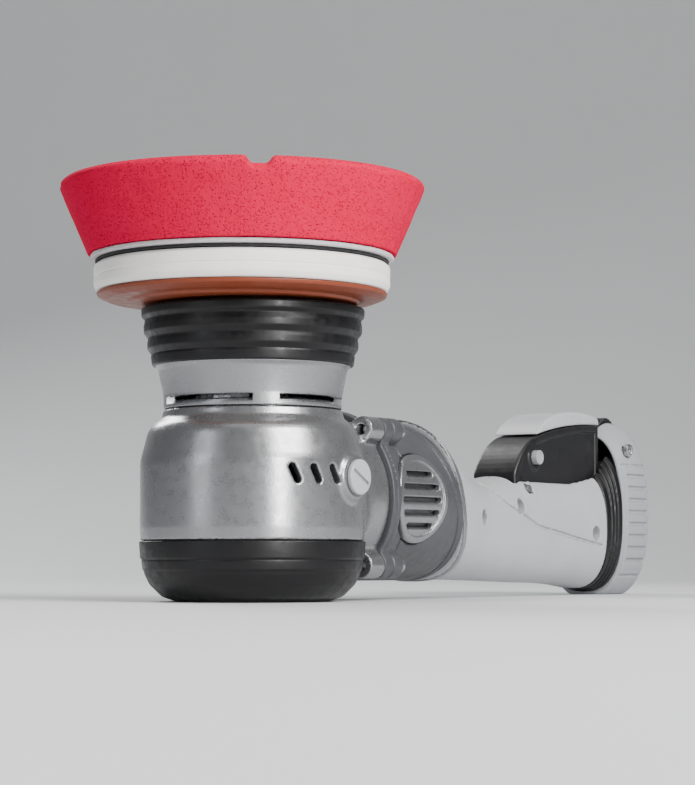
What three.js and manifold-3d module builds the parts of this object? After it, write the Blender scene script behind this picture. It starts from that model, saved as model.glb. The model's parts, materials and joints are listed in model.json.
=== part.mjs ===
// A dual-action machine polisher for car bodywork, stored upside down with its foam pad upwards.
// Millimetres, +Z up. The origin is where the spindle's axis meets the surface that the head rests on.
// +X runs from the head to the tail of the grip.
import * as THREE from "three";
import { mergeVertices } from "three/addons/utils/BufferGeometryUtils.js";
import Module from "manifold-3d";

const wasm = await Module();
wasm.setup();

// ---------------------------------------------------------------- driving dimensions
const GAP = 0.3; // between pieces that touch
const LARGE = 24; // sides of a large round
const MEDIUM = 16;
const SMALL = 10;
const MOTOR_Z = 43; // height of the armature's axis
const ORBIT_OFFSET = 7.5; // half of the 15 mm orbit

// Pad and backing plate, from the working face downwards.
const PAD_FACE_Z = 171;
const PAD_THICKNESS = 30;
const PAD_FACE_R = 75;
const PAD_BASE_R = 63;
const PAD_HOLE_R = 8;
const GROOVE_WIDTH = 9;
const GROOVE_DEPTH = 3;
const GROOVE_ANGLE = THREE.MathUtils.degToRad(42);
const LOOP_THICKNESS = 1.8;
const HOOK_THICKNESS = 1;
const CUSHION_THICKNESS = 11.5;
const PLATE_R = 60.5;
const PLATE_BODY_THICKNESS = 4.5;
const PLATE_RIM_THICKNESS = 1.8;
const BOLT_HOLE_R = 9;
const BOLT_R = 4;
const BOLT_HEAD_R = 6.5;
const BOLT_HEAD_HEIGHT = 8;
const HUB_R = 28;
const HUB_LOW_Z = 109;

// Eccentric spindle.
const SPINDLE_R = 7;
const OUTPUT_R = 7.5;
const ECCENTRIC_BEARING_R = 15;
const COUNTERWEIGHT_LOW_Z = 80;
const COUNTERWEIGHT_HIGH_Z = 106;
const COUNTERWEIGHT_R = 35;
const COUNTERWEIGHT_LOBE_THICKNESS = 9;
const SPINDLE_BEARING_OUTPUT_R = 17.5;
const SPINDLE_BEARING_INNER_R = 13;

// Bevel gears: both pitch cones meet at the crossing of the two axes.
const PINION_TEETH = 7;
const CROWN_TEETH = 28;
const CROWN_PITCH_R = 20;
const TOOTH_FACE = 6.5;
const TOOTH_ADDENDUM = 0.9;
const TOOTH_DEDENDUM = 1.6;
const TOOTH_TIP_WIDTH = 0.9;
const TOOTH_ROOT_WIDTH = 2.6;

// Head.
const HEAD_R = 46;
const HEAD_TOP_Z = 78;
const NECK_R = 36;
const NECK_END_X = 47.5;
const NOSE_TOP_Z = 100;
const NOSE_TOP_R = 40;
const NOSE_LOW_R = 36.5;
const SHROUD_LOW_Z = 96;
const SHROUD_RIM_Z = 119.8;
const SHROUD_RIM_R = 46;
const SIDE_BOSS_X = 6;
const SIDE_BOSS_Z = 50;
const SIDE_BOSS_R = 9;
const SIDE_BOSS_END_Y = 47.5;
const OUTLET_LOW_Z = 79.9;
const OUTLET_HEIGHT = 2.8;

// Motor.
const FLANGE_R = 38;
const FLANGE_END_X = 54;
const MOTOR_HOUSING_R = 35;
const STATOR_R = 32;
const ROTOR_R = 23.2;
const COMMUTATOR_R = 12.5;
const MOTOR_SHAFT_R = 5;
const MOTOR_BEARING_FRONT_R = 12.7;
const MOTOR_BEARING_REAR_R = 11;
const FAN_R = 30;
const FAN_BLADES = 11;
const EAR_CIRCLE_R = 40;
const EAR_R = 5.5;
const EAR_END_X = 62;
const EAR_HOLE_R = 2.3;
const VENT_X = 74;
const VENT_R = 19;
const BRUSH_X = 104.5;

// The slanted seam between the motor housing and the handle shells runs through these two points.
const SEAM_TOP = new THREE.Vector2(96, 78);
const SEAM_BOTTOM = new THREE.Vector2(118, 8);

// Handle: each station is [x, lowest z, highest z, half width] of a rounded section.
const SHELL_WALL = 3;
const HANDLE_STATIONS = [
  [84, 7.4, 78.6, 35.6],
  [98, 7.4, 78.2, 35.4],
  [112, 7.6, 71, 33],
  [128, 8, 63, 29],
  [146, 8, 57, 25],
  [168, 7.5, 54.5, 22],
  [205, 6.5, 58.5, 19.5],
  [240, 5.5, 58.5, 19.5],
  [266, 3, 62, 20.5],
];
const COLLAR_STATIONS = [
  [266.3, 3, 62, 20.5],
  [279.7, 1.2, 74, 22],
];
const TAIL_STATIONS = [
  [280, -2, 80, 22],
  [286, -2.5, 85, 23],
  [296, -2.5, 87, 23.5],
  [305, -1, 84, 22.5],
  [310, 4, 77, 19.5],
  [312, 9, 68, 15.5],
];

// Trigger, in the handle's plane of symmetry.
const TRIGGER_PIVOT = new THREE.Vector2(197, 50);
const TRIGGER_HALF_WIDTH = 11.7;
const TRIGGER_SLOT_HALF_WIDTH = 12.3;
const TRIGGER_SLOT_START_X = 188;
const TRIGGER_REAR_X = 274;
const PLATE_NOSE_X = 212;
const PLATE_NOSE_Z = 77;
const PLATE_REAR_Z = 84;
const LOCK_POINT = new THREE.Vector2(211, 66);
const LOCK_R = 3.4;

const SHELL_SCREWS = [
  [140, 36],
  [184, 42],
  [256, 30],
];
const TAIL_SCREW = new THREE.Vector2(288, 72);
const DIAL_POINT = new THREE.Vector2(296, 78.5);
const DIAL_R = 11;
const GLAND_Z = 38;

// ---------------------------------------------------------------- materials
const material = (color, roughness, metalness = 0) =>
  new THREE.MeshStandardMaterial({ color, roughness, metalness });
const FOAM_RED = material(0xd8173a, 0.95);
const LOOP_WHITE = material(0xe9e7e2, 0.95);
const CUSHION_WHITE = material(0xf0eee8, 0.85);
const PLATE_ORANGE = material(0xc2501c, 0.6);
const NYLON_BLACK = material(0x16171a, 0.55);
const RUBBER_BLACK = material(0x111214, 0.8);
const RUBBER_GREY = material(0xa9adb2, 0.75);
const SILVER = material(0xb4b8bd, 0.38, 0.55);
const SHELL_GREY = material(0xc3c6ca, 0.42);
const DARK_GREY = material(0x45484d, 0.5);
const STEEL = material(0x9a9da1, 0.3, 0.9);
const COPPER = material(0xb06a3b, 0.4, 0.8);
const LAMINATION = material(0x55585c, 0.5, 0.7);
const BOARD_GREEN = material(0x1f5a3a, 0.6);
const CARBON = material(0x202124, 0.9);

// ---------------------------------------------------------------- solids
// A closed three.js geometry as a solid, its faces turned outwards.
function solid(geometry) {
  const bare = new THREE.BufferGeometry();
  bare.setAttribute("position", geometry.getAttribute("position"));
  if (geometry.index) bare.setIndex(geometry.index);
  const merged = mergeVertices(bare, 1e-4);
  const build = (order) => {
    const triangles = [];
    const index = merged.index.array;
    for (let i = 0; i < index.length; i += 3) {
      const corners = order.map((k) => index[i + k]);
      if (new Set(corners).size === 3) triangles.push(...corners);
    }
    return new wasm.Manifold(
      new wasm.Mesh({
        numProp: 3,
        vertProperties: merged.attributes.position.array,
        triVerts: new Uint32Array(triangles),
      }),
    );
  };
  const made = build([0, 1, 2]);
  return made.volume() > 0 ? made : build([0, 2, 1]);
}

function geometryOf(body) {
  const mesh = body.getMesh();
  const geometry = new THREE.BufferGeometry();
  geometry.setAttribute("position", new THREE.BufferAttribute(mesh.vertProperties, 3));
  geometry.setIndex(new THREE.BufferAttribute(mesh.triVerts, 1));
  geometry.computeVertexNormals();
  return geometry;
}

function piece(name, body, finish) {
  const mesh = new THREE.Mesh(geometryOf(body), finish);
  mesh.name = name;
  return mesh;
}

const join = (...bodies) => bodies.reduce((a, b) => a.add(b));
const cut = (body, ...tools) => tools.reduce((a, b) => a.subtract(b), body);

// A profile of [radius, height] turned round the Z axis.
function turned(profile, segments = MEDIUM, closed = false) {
  const points = profile.map(([r, z]) => new THREE.Vector2(r, z));
  if (closed) points.push(points[0].clone());
  return solid(new THREE.LatheGeometry(points, segments).rotateX(Math.PI / 2));
}

const ring = (innerR, outerR, low, high, segments = MEDIUM) =>
  turned([[innerR, low], [outerR, low], [outerR, high], [innerR, high]], segments, true);

const disc = (radius, low, high, segments = MEDIUM) =>
  turned([[0, low], [radius, low], [radius, high], [0, high]], segments);

// A round bar along X or Y, from one end to the other.
function barX(radius, from, to, y, z, segments = MEDIUM) {
  const g = new THREE.CylinderGeometry(radius, radius, to - from, segments);
  return solid(g.rotateZ(Math.PI / 2).translate((from + to) / 2, y, z));
}

function barY(radius, from, to, x, z, segments = MEDIUM) {
  const g = new THREE.CylinderGeometry(radius, radius, to - from, segments);
  return solid(g.translate(x, (from + to) / 2, 0).translate(0, 0, z));
}

function box(x0, x1, y0, y1, z0, z1) {
  const g = new THREE.BoxGeometry(x1 - x0, y1 - y0, z1 - z0);
  return solid(g.translate((x0 + x1) / 2, (y0 + y1) / 2, (z0 + z1) / 2));
}

// An outline drawn in the XZ plane, as thick along Y as twice its half width.
function plate(shape, halfWidth, curveSegments = 6) {
  const g = new THREE.ExtrudeGeometry(shape, {
    depth: 2 * halfWidth,
    bevelEnabled: false,
    curveSegments,
  });
  return solid(g.rotateX(Math.PI / 2).translate(0, halfWidth, 0));
}

// Rounded sections along X, joined into one body. A positive inset gives the hollow inside a wall.
function lofted(stations, inset = 0, squareness = 2.5, segments = MEDIUM) {
  const rows = stations.length - 1;
  const g = new THREE.CylinderGeometry(1, 1, 1, segments, rows);
  const p = g.getAttribute("position");
  for (let i = 0; i < p.count; i++) {
    const [x, low, high, halfWidth] = stations[Math.round((0.5 - p.getY(i)) * rows)];
    const side = p.getX(i);
    const up = p.getZ(i);
    const radius = Math.hypot(side, up);
    const powers = Math.abs(side) ** squareness + Math.abs(up) ** squareness;
    const reach = powers ** (1 / squareness);
    const scale = radius ? radius / reach : 0;
    const y = side * scale * (halfWidth - inset);
    const z = (low + high) / 2 + up * scale * ((high - low) / 2 - inset);
    p.setXYZ(i, x, y, z);
  }
  return solid(g);
}

// Everything behind the seam, moved back by an offset.
function behindSeam(offset) {
  const along = SEAM_BOTTOM.clone().sub(SEAM_TOP).normalize();
  const reach = 400;
  const back = new THREE.Vector2(-along.y, along.x).multiplyScalar(offset);
  const start = SEAM_TOP.clone().add(back);
  const top = start.clone().addScaledVector(along, -reach);
  const bottom = start.clone().addScaledVector(along, reach);
  const outline = new THREE.Shape([
    top,
    new THREE.Vector2(top.x + reach, top.y),
    new THREE.Vector2(bottom.x + reach, bottom.y),
    bottom,
  ]);
  return plate(outline, reach);
}

const leftHalf = box(-500, 500, 0.15, 500, -500, 500);
const rightHalf = box(-500, 500, -500, -0.15, -500, 500);

// ---------------------------------------------------------------- pad and backing plate
function padAssembly() {
  const group = new THREE.Group();
  group.position.x = -ORBIT_OFFSET;

  const padLow = PAD_FACE_Z - PAD_THICKNESS;
  const foam = turned(
    [
      [PAD_HOLE_R, padLow],
      [PAD_BASE_R, padLow],
      [PAD_FACE_R - 1, PAD_FACE_Z - 8],
      [PAD_FACE_R, PAD_FACE_Z - 4],
      [PAD_FACE_R - 3, PAD_FACE_Z],
      [PAD_HOLE_R, PAD_FACE_Z],
    ],
    LARGE,
    true,
  );
  const groove = (turn) => {
    const g = new THREE.BoxGeometry(2.2 * PAD_FACE_R, GROOVE_WIDTH, 2 * GROOVE_DEPTH);
    return solid(g.rotateZ(GROOVE_ANGLE + turn).translate(0, 0, PAD_FACE_Z));
  };
  group.add(piece("foam_pad", cut(foam, groove(0), groove(Math.PI / 2)), FOAM_RED));

  const loopHigh = padLow - GAP;
  const loopLow = loopHigh - LOOP_THICKNESS;
  const loop = ring(PAD_HOLE_R, PAD_BASE_R - 1, loopLow, loopHigh, LARGE);
  group.add(piece("pad_loop_backing", loop, LOOP_WHITE));

  const hookHigh = loopLow - GAP;
  const hookLow = hookHigh - HOOK_THICKNESS;
  const hook = ring(BOLT_HOLE_R, PLATE_R - 0.5, hookLow, hookHigh, LARGE);
  group.add(piece("hook_disc", hook, NYLON_BLACK));

  const cushionHigh = hookLow - GAP;
  const cushionLow = cushionHigh - CUSHION_THICKNESS;
  const cushion = turned(
    [
      [BOLT_HOLE_R, cushionLow],
      [PLATE_R - 1, cushionLow],
      [PLATE_R, cushionLow + 3],
      [PLATE_R, cushionHigh - 2],
      [PLATE_R - 1, cushionHigh],
      [BOLT_HOLE_R, cushionHigh],
    ],
    LARGE,
    true,
  );
  group.add(piece("plate_cushion", cushion, CUSHION_WHITE));

  const bodyHigh = cushionLow - GAP;
  const bodyLow = bodyHigh - PLATE_BODY_THICKNESS;
  const plateBody = turned(
    [
      [HUB_R + GAP, bodyLow],
      [PLATE_R - 13, bodyLow],
      [PLATE_R - 1, bodyHigh - PLATE_RIM_THICKNESS],
      [PLATE_R - 1, bodyHigh],
      [HUB_R + GAP, bodyHigh],
    ],
    LARGE,
    true,
  );
  group.add(piece("plate_body", plateBody, PLATE_ORANGE));

  const hubHigh = bodyHigh - 2;
  const hub = turned(
    [
      [BOLT_R + GAP, HUB_LOW_Z],
      [HUB_R - 6, HUB_LOW_Z],
      [HUB_R, HUB_LOW_Z + 6],
      [HUB_R, hubHigh],
      [BOLT_R + GAP, hubHigh],
    ],
    LARGE,
    true,
  );
  group.add(piece("plate_hub", hub, NYLON_BLACK));

  const headLow = hubHigh + GAP;
  const headHigh = headLow + BOLT_HEAD_HEIGHT;
  const bolt = join(
    disc(BOLT_HEAD_R, headLow, headHigh),
    disc(BOLT_R, HUB_LOW_Z - 14, headLow + 1, SMALL),
  );
  const hexKey = new THREE.CylinderGeometry(3.4, 3.4, 10, 6).rotateX(Math.PI / 2);
  hexKey.translate(0, 0, headHigh);
  group.add(piece("plate_bolt", cut(bolt, solid(hexKey)), STEEL));

  const collarR = 12;
  const output = turned(
    [
      [0, 90.6],
      [OUTPUT_R, 90.6],
      [OUTPUT_R, COUNTERWEIGHT_HIGH_Z + GAP],
      [collarR, COUNTERWEIGHT_HIGH_Z + GAP],
      [collarR, HUB_LOW_Z - GAP],
      [BOLT_R + GAP, HUB_LOW_Z - GAP],
      [BOLT_R + GAP, HUB_LOW_Z - 15],
      [0, HUB_LOW_Z - 15],
    ],
    MEDIUM,
  );
  group.add(piece("output_shaft", output, STEEL));
  return group;
}

// ---------------------------------------------------------------- bevel gears
const crownAngle = Math.atan(CROWN_TEETH / PINION_TEETH);
const coneReach = CROWN_PITCH_R / Math.sin(crownAngle);
const innerShare = (coneReach - TOOTH_FACE) / coneReach;

// One straight bevel tooth on a gear whose axis is +Z and whose apex is the origin.
// Every edge runs towards the apex, as on a real straight bevel gear.
function bevelTooth(coneAngle, turn) {
  const along = new THREE.Vector2(Math.sin(coneAngle), Math.cos(coneAngle));
  const outward = new THREE.Vector2(Math.cos(coneAngle), -Math.sin(coneAngle));
  const g = new THREE.BoxGeometry(1, 1, 1);
  const p = g.getAttribute("position");
  for (let i = 0; i < p.count; i++) {
    const tip = p.getZ(i) > 0;
    const height = tip ? TOOTH_ADDENDUM : -TOOTH_DEDENDUM - 0.3;
    const width = tip ? TOOTH_TIP_WIDTH : TOOTH_ROOT_WIDTH;
    const share = p.getX(i) > 0 ? 1 : innerShare;
    const radial = share * (coneReach * along.x + height * outward.x);
    const axial = share * (coneReach * along.y + height * outward.y);
    p.setXYZ(i, radial, Math.sign(p.getY(i)) * share * (width / 2), axial);
  }
  return solid(g.rotateZ(turn));
}

function bevelTeeth(count, coneAngle, phase) {
  const teeth = [];
  for (let i = 0; i < count; i++) {
    teeth.push(bevelTooth(coneAngle, phase + (i * 2 * Math.PI) / count));
  }
  return teeth;
}

// ---------------------------------------------------------------- spindle
function spindleAssembly() {
  const group = new THREE.Group();
  group.add(piece("spindle_shaft", disc(SPINDLE_R, 17, 89.6, MEDIUM), STEEL));

  const crownBody = turned(
    [
      [SPINDLE_R + GAP, 4.2],
      [13.4, 4.35],
      [19.66, 6.36],
      [20.6, 9],
      [20.6, 11],
      [12, 11],
      [12, 19],
      [SPINDLE_R + GAP, 19],
    ],
    CROWN_TEETH,
    true,
  );
  const crown = join(crownBody, ...bevelTeeth(CROWN_TEETH, crownAngle, Math.PI / CROWN_TEETH));
  const crownGear = piece("crown_gear", crown, STEEL);
  crownGear.position.z = MOTOR_Z;
  group.add(crownGear);

  const low = COUNTERWEIGHT_LOW_Z;
  const high = COUNTERWEIGHT_HIGH_Z;
  const pocketHub = disc(19, low, high).translate([-ORBIT_OFFSET, 0, 0]);
  const round = disc(COUNTERWEIGHT_R, high - COUNTERWEIGHT_LOBE_THICKNESS, high, LARGE);
  const lobe = cut(round, box(-60, 2, -60, 60, 0, 200));
  const pocket = disc(ECCENTRIC_BEARING_R + GAP, 90, high + 1).translate([-ORBIT_OFFSET, 0, 0]);
  const shaftBore = disc(SPINDLE_R + GAP, low - 1, 91);
  group.add(piece("counterweight", cut(join(pocketHub, lobe), pocket, shaftBore), STEEL));

  const races = ring(OUTPUT_R + GAP, ECCENTRIC_BEARING_R, 90.3, high - GAP);
  const bearing = piece("eccentric_bearing", races, STEEL);
  bearing.position.x = -ORBIT_OFFSET;
  group.add(bearing);
  return group;
}

// ---------------------------------------------------------------- head
const nosePlateClearance = disc(41, HEAD_TOP_Z, HEAD_TOP_Z + 30);

function earPositions() {
  const side = EAR_CIRCLE_R * Math.SQRT1_2;
  const corners = [[side, side], [side, -side], [-side, side], [-side, -side]];
  return corners.map(([y, z]) => [y, MOTOR_Z + z]);
}

const earBars = (radius, from, to, sides) =>
  join(...earPositions().map(([y, z]) => barX(radius, from, to, y, z, sides)));
const ears = (from, to) => earBars(EAR_R, from, to, SMALL);
const earHoles = (from, to) => earBars(EAR_HOLE_R, from, to, 8);

function gearHousing() {
  const outer = turned(
    [
      [0, 5],
      [29, 5],
      [36, 7.5],
      [41, 13],
      [44, 24.8],
      [HEAD_R, 24.9],
      [HEAD_R, 59],
      [HEAD_R - 1.2, 65],
      [HEAD_R - 4.5, 71],
      [NOSE_LOW_R + 1.5, 75.5],
      [NOSE_LOW_R, HEAD_TOP_Z],
      [0, HEAD_TOP_Z],
    ],
    LARGE,
  );
  const cavity = turned(
    [
      [0, 10],
      [27, 10],
      [37, 16],
      [41.5, 28],
      [41.5, 58],
      [37, 67],
      [32.5, 72],
      [32.5, 79],
      [0, 79],
    ],
    LARGE,
  );
  const neck = barX(NECK_R, 0, NECK_END_X, 0, MOTOR_Z, LARGE);
  const neckCavity = barX(30, 0, NECK_END_X + 1, 0, MOTOR_Z, LARGE);
  const bearingBoss = ring(SPINDLE_BEARING_INNER_R + GAP, 17.5, 9, 27);
  const sideBosses = barY(SIDE_BOSS_R, -SIDE_BOSS_END_Y, SIDE_BOSS_END_Y, SIDE_BOSS_X, SIDE_BOSS_Z);
  const sideHoles = barY(4.3, -60, 60, SIDE_BOSS_X, SIDE_BOSS_Z);
  const vents = [];
  for (const side of [-1, 1]) {
    for (const degrees of [98, 110, 122]) {
      const g = new THREE.BoxGeometry(24, 3, 8).rotateX(side * 0.45);
      g.translate(HEAD_R, 0, 0).rotateZ(THREE.MathUtils.degToRad(side * degrees));
      vents.push(solid(g.translate(0, 0, SIDE_BOSS_Z + 1)));
    }
  }
  const shell = cut(join(outer, neck, sideBosses, ears(41, NECK_END_X)), cavity, neckCavity);
  const screwHoles = earHoles(40, NECK_END_X + 1);
  return cut(join(shell, bearingBoss), sideHoles, nosePlateClearance, screwHoles, ...vents);
}

function headCap() {
  const outer = turned(
    [
      [0, 0],
      [31, 0],
      [37, 2],
      [42, 7],
      [45, 15],
      [46.3, 24.5],
      [0, 24.5],
    ],
    LARGE,
  );
  const inner = turned(
    [
      [0, 4.7],
      [29.2, 4.7],
      [36.3, 7.2],
      [41.4, 12.8],
      [44.4, 24.6],
      [44.4, 26],
      [0, 26],
    ],
    LARGE,
  );
  return cut(outer, inner, barX(NECK_R + GAP, 10, 80, 0, MOTOR_Z, LARGE));
}

function bearingPlate() {
  const body = turned(
    [
      [15, 79.5],
      [15, 77.4],
      [17.8, 77.4],
      [17.8, 65.7],
      [22, 65.7],
      [22, 73],
      [32, 73],
      [32, HEAD_TOP_Z + GAP],
      [NOSE_LOW_R, HEAD_TOP_Z + GAP],
      [NOSE_LOW_R + 0.2, 82],
      [NOSE_TOP_R, NOSE_TOP_Z],
      [NOSE_TOP_R - 3, NOSE_TOP_Z],
      [33.5, 82],
      [32.5, 79.5],
    ],
    LARGE,
    true,
  );
  // Four long air outlets, with a bridge on each diagonal.
  const halfSpan = THREE.MathUtils.degToRad(36);
  const outlets = [0, 1, 2, 3].map((quarter) => {
    const middle = (quarter * Math.PI) / 2;
    const sector = new THREE.Shape();
    sector.absarc(0, 0, 44, middle - halfSpan, middle + halfSpan, false);
    sector.absarc(0, 0, 32.8, middle + halfSpan, middle - halfSpan, true);
    const g = new THREE.ExtrudeGeometry(sector, {
      depth: OUTLET_HEIGHT,
      bevelEnabled: false,
      curveSegments: 5,
    });
    return solid(g.translate(0, 0, OUTLET_LOW_Z));
  });
  return cut(body, ...outlets);
}

function shroud() {
  const low = SHROUD_LOW_Z;
  return turned(
    [
      [39.5, low],
      [41.4, low],
      [43, low + 5],
      [42.4, low + 8.5],
      [44.2, low + 12],
      [43.6, low + 15.5],
      [45.4, low + 18.5],
      [SHROUD_RIM_R, SHROUD_RIM_Z],
      [SHROUD_RIM_R - 2.5, SHROUD_RIM_Z],
      [40.5, NOSE_TOP_Z + 0.4],
    ],
    LARGE,
    true,
  );
}

function headAssembly() {
  const group = new THREE.Group();
  group.add(piece("gear_housing", gearHousing(), SILVER));
  group.add(piece("head_cap", headCap(), RUBBER_BLACK));
  group.add(piece("bearing_plate", bearingPlate(), SILVER));
  group.add(piece("shroud", shroud(), RUBBER_BLACK));
  const outputBearing = ring(SPINDLE_R + GAP, SPINDLE_BEARING_OUTPUT_R, 66, 77.1);
  const innerBearing = ring(SPINDLE_R + GAP, SPINDLE_BEARING_INNER_R, 18, 26.5);
  group.add(piece("spindle_bearing_output", outputBearing, STEEL));
  group.add(piece("spindle_bearing_inner", innerBearing, STEEL));
  for (const [name, side] of [["side_handle_plug_left", 1], ["side_handle_plug_right", -1]]) {
    const capLow = SIDE_BOSS_END_Y + GAP;
    const capDisc = barY(7.2, capLow, capLow + 2, SIDE_BOSS_X, SIDE_BOSS_Z);
    const stem = barY(4, 40, 48.5, SIDE_BOSS_X, SIDE_BOSS_Z, SMALL);
    const plug = join(capDisc, stem);
    group.add(piece(name, side > 0 ? plug : plug.mirror([0, 1, 0]), NYLON_BLACK));
  }
  return group;
}

// ---------------------------------------------------------------- motor, turned round its own Z axis
const motorGroup = () => {
  const group = new THREE.Group();
  group.rotation.y = Math.PI / 2;
  group.position.z = MOTOR_Z;
  return group;
};

function armatureAssembly() {
  const group = motorGroup();
  const shaft = turned(
    [
      [0, 24.4],
      [3, 24.4],
      [3, 30.5],
      [MOTOR_SHAFT_R, 30.5],
      [MOTOR_SHAFT_R, 126],
      [0, 126],
    ],
    SMALL,
  );
  group.add(piece("armature_shaft", shaft, STEEL));

  const pinionAngle = Math.PI / 2 - crownAngle;
  const pinionBody = turned(
    [
      [0, 13.95],
      [2.45, 13.95],
      [3.62, 20.3],
      [4.6, 20.9],
      [5.8, 22],
      [5.8, 30.2],
      [3.3, 30.2],
      [3.3, 24.1],
      [0, 24.1],
    ],
    2 * PINION_TEETH,
  );
  const pinion = join(pinionBody, ...bevelTeeth(PINION_TEETH, pinionAngle, Math.PI));
  group.add(piece("pinion_gear", pinion, STEEL));

  const bore = MOTOR_SHAFT_R + GAP;
  const fanLow = 54.9;
  const blades = [];
  for (let i = 0; i < FAN_BLADES; i++) {
    const g = new THREE.BoxGeometry(19, 1.4, 3.6).translate(20, 0, fanLow + 2.7);
    blades.push(solid(g.rotateZ((i * 2 * Math.PI) / FAN_BLADES)));
  }
  const fanHub = ring(bore, 9, fanLow, fanLow + 4.7, SMALL);
  const fanDisc = ring(8.5, FAN_R, fanLow, fanLow + 1.5, LARGE);
  const fan = join(fanHub, fanDisc, ...blades);
  group.add(piece("cooling_fan", fan, NYLON_BLACK));

  const core = turned(
    [
      [bore, 60.4],
      [15, 60.4],
      [18, 63],
      [ROTOR_R, 63],
      [ROTOR_R, 92],
      [18, 92],
      [15, 95],
      [bore, 95],
    ],
    MEDIUM,
    true,
  );
  group.add(piece("armature_core", core, LAMINATION));
  group.add(piece("commutator", ring(bore, COMMUTATOR_R, 98, 111), COPPER));
  return group;
}

function motorFlange() {
  const body = turned(
    [
      [6, 40.8],
      [29.5, 40.8],
      [29.5, NECK_END_X + GAP],
      [FLANGE_R, NECK_END_X + GAP],
      [FLANGE_R, FLANGE_END_X],
      [13, FLANGE_END_X],
      [13, 43],
      [6, 43],
    ],
    LARGE,
    true,
  );
  const upright = new THREE.Matrix4().makeRotationY(Math.PI / 2).setPosition(0, 0, MOTOR_Z);
  const lugs = cut(ears(NECK_END_X + GAP, FLANGE_END_X), barX(30, 0, 100, 0, MOTOR_Z));
  return cut(join(body.transform(upright.elements), lugs), earHoles(40, 60));
}

function motorHousing() {
  const start = FLANGE_END_X + GAP;
  const outside = join(barX(MOTOR_HOUSING_R, start, 140, 0, MOTOR_Z, LARGE), ears(start, EAR_END_X));
  const bore = barX(STATOR_R + 0.4, 40, 150, 0, MOTOR_Z, LARGE);
  const ventHoles = barY(VENT_R + GAP, -60, 60, VENT_X, MOTOR_Z, 24);
  return cut(outside, bore, behindSeam(-GAP), ventHoles, earHoles(40, 80));
}

// A round louvred cover that follows the housing's curve.
function ventCover() {
  const wall = cut(
    barX(MOTOR_HOUSING_R + 1.4, 40, 100, 0, MOTOR_Z, LARGE),
    barX(STATOR_R + 0.6, 39, 101, 0, MOTOR_Z, LARGE),
  );
  const round = barY(VENT_R, 20, 50, VENT_X, MOTOR_Z, 24);
  const louvres = [-11, -5.5, 0, 5.5, 11].map((dz) => {
    const half = Math.sqrt((VENT_R - 4) ** 2 - dz ** 2);
    return box(VENT_X - half, VENT_X + half, 20, 50, MOTOR_Z + dz - 1.2, MOTOR_Z + dz + 1.2);
  });
  return cut(wall.intersect(round), ...louvres);
}

function flangeScrew([y, z]) {
  const head = barX(3.6, EAR_END_X + GAP, EAR_END_X + 4, y, z, SMALL);
  return join(head, barX(1.9, 41, EAR_END_X + 1, y, z, 8));
}

function brushHolder() {
  const outer = box(BRUSH_X - 5, BRUSH_X + 5, 14, 28, MOTOR_Z - 5, MOTOR_Z + 5);
  return cut(outer, box(BRUSH_X - 3.3, BRUSH_X + 3.3, 10, 30, MOTOR_Z - 2.5, MOTOR_Z + 2.5));
}

function brushBridge() {
  const bar = cut(
    box(112.5, 115.5, -25, 25, MOTOR_Z - 10, MOTOR_Z + 10),
    barX(6, 100, 120, 0, MOTOR_Z, SMALL),
  );
  const cup = cut(
    barX(14, 114, 126, 0, MOTOR_Z),
    barX(11.3, 115.8, 130, 0, MOTOR_Z),
    barX(6, 100, 130, 0, MOTOR_Z, SMALL),
  );
  return join(bar, cup);
}

function motorAssembly() {
  const group = new THREE.Group();
  const inline = motorGroup();
  const bore = MOTOR_SHAFT_R + GAP;
  const frontBearing = ring(bore, MOTOR_BEARING_FRONT_R, 43.3, 51.5);
  const rearBearing = ring(bore, MOTOR_BEARING_REAR_R, 116.1, 124);
  inline.add(piece("motor_bearing_front", frontBearing, STEEL));
  inline.add(piece("motor_bearing_rear", rearBearing, STEEL));
  inline.add(piece("stator", ring(ROTOR_R + 0.7, STATOR_R, 62, 94, LARGE), LAMINATION));
  group.add(inline);

  group.add(piece("motor_flange", motorFlange(), DARK_GREY));
  group.add(piece("motor_housing", motorHousing(), DARK_GREY));
  group.add(piece("vent_cover_left", ventCover(), SILVER));
  group.add(piece("vent_cover_right", ventCover().mirror([0, 1, 0]), SILVER));
  earPositions().forEach((place, i) => {
    group.add(piece(`flange_screw_${i + 1}`, flangeScrew(place), STEEL));
  });
  group.add(piece("brush_bridge", brushBridge(), NYLON_BLACK));
  const brush = () => box(BRUSH_X - 3, BRUSH_X + 3, 12.8, 24, MOTOR_Z - 2.2, MOTOR_Z + 2.2);
  group.add(piece("brush_holder_left", brushHolder(), COPPER));
  group.add(piece("brush_holder_right", brushHolder().mirror([0, 1, 0]), COPPER));
  group.add(piece("carbon_brush_left", brush(), CARBON));
  group.add(piece("carbon_brush_right", brush().mirror([0, 1, 0]), CARBON));
  return group;
}

// ---------------------------------------------------------------- handle
const triggerSlot = () =>
  box(TRIGGER_SLOT_START_X, 290, -TRIGGER_SLOT_HALF_WIDTH, TRIGGER_SLOT_HALF_WIDTH, 46, 120);

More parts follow.
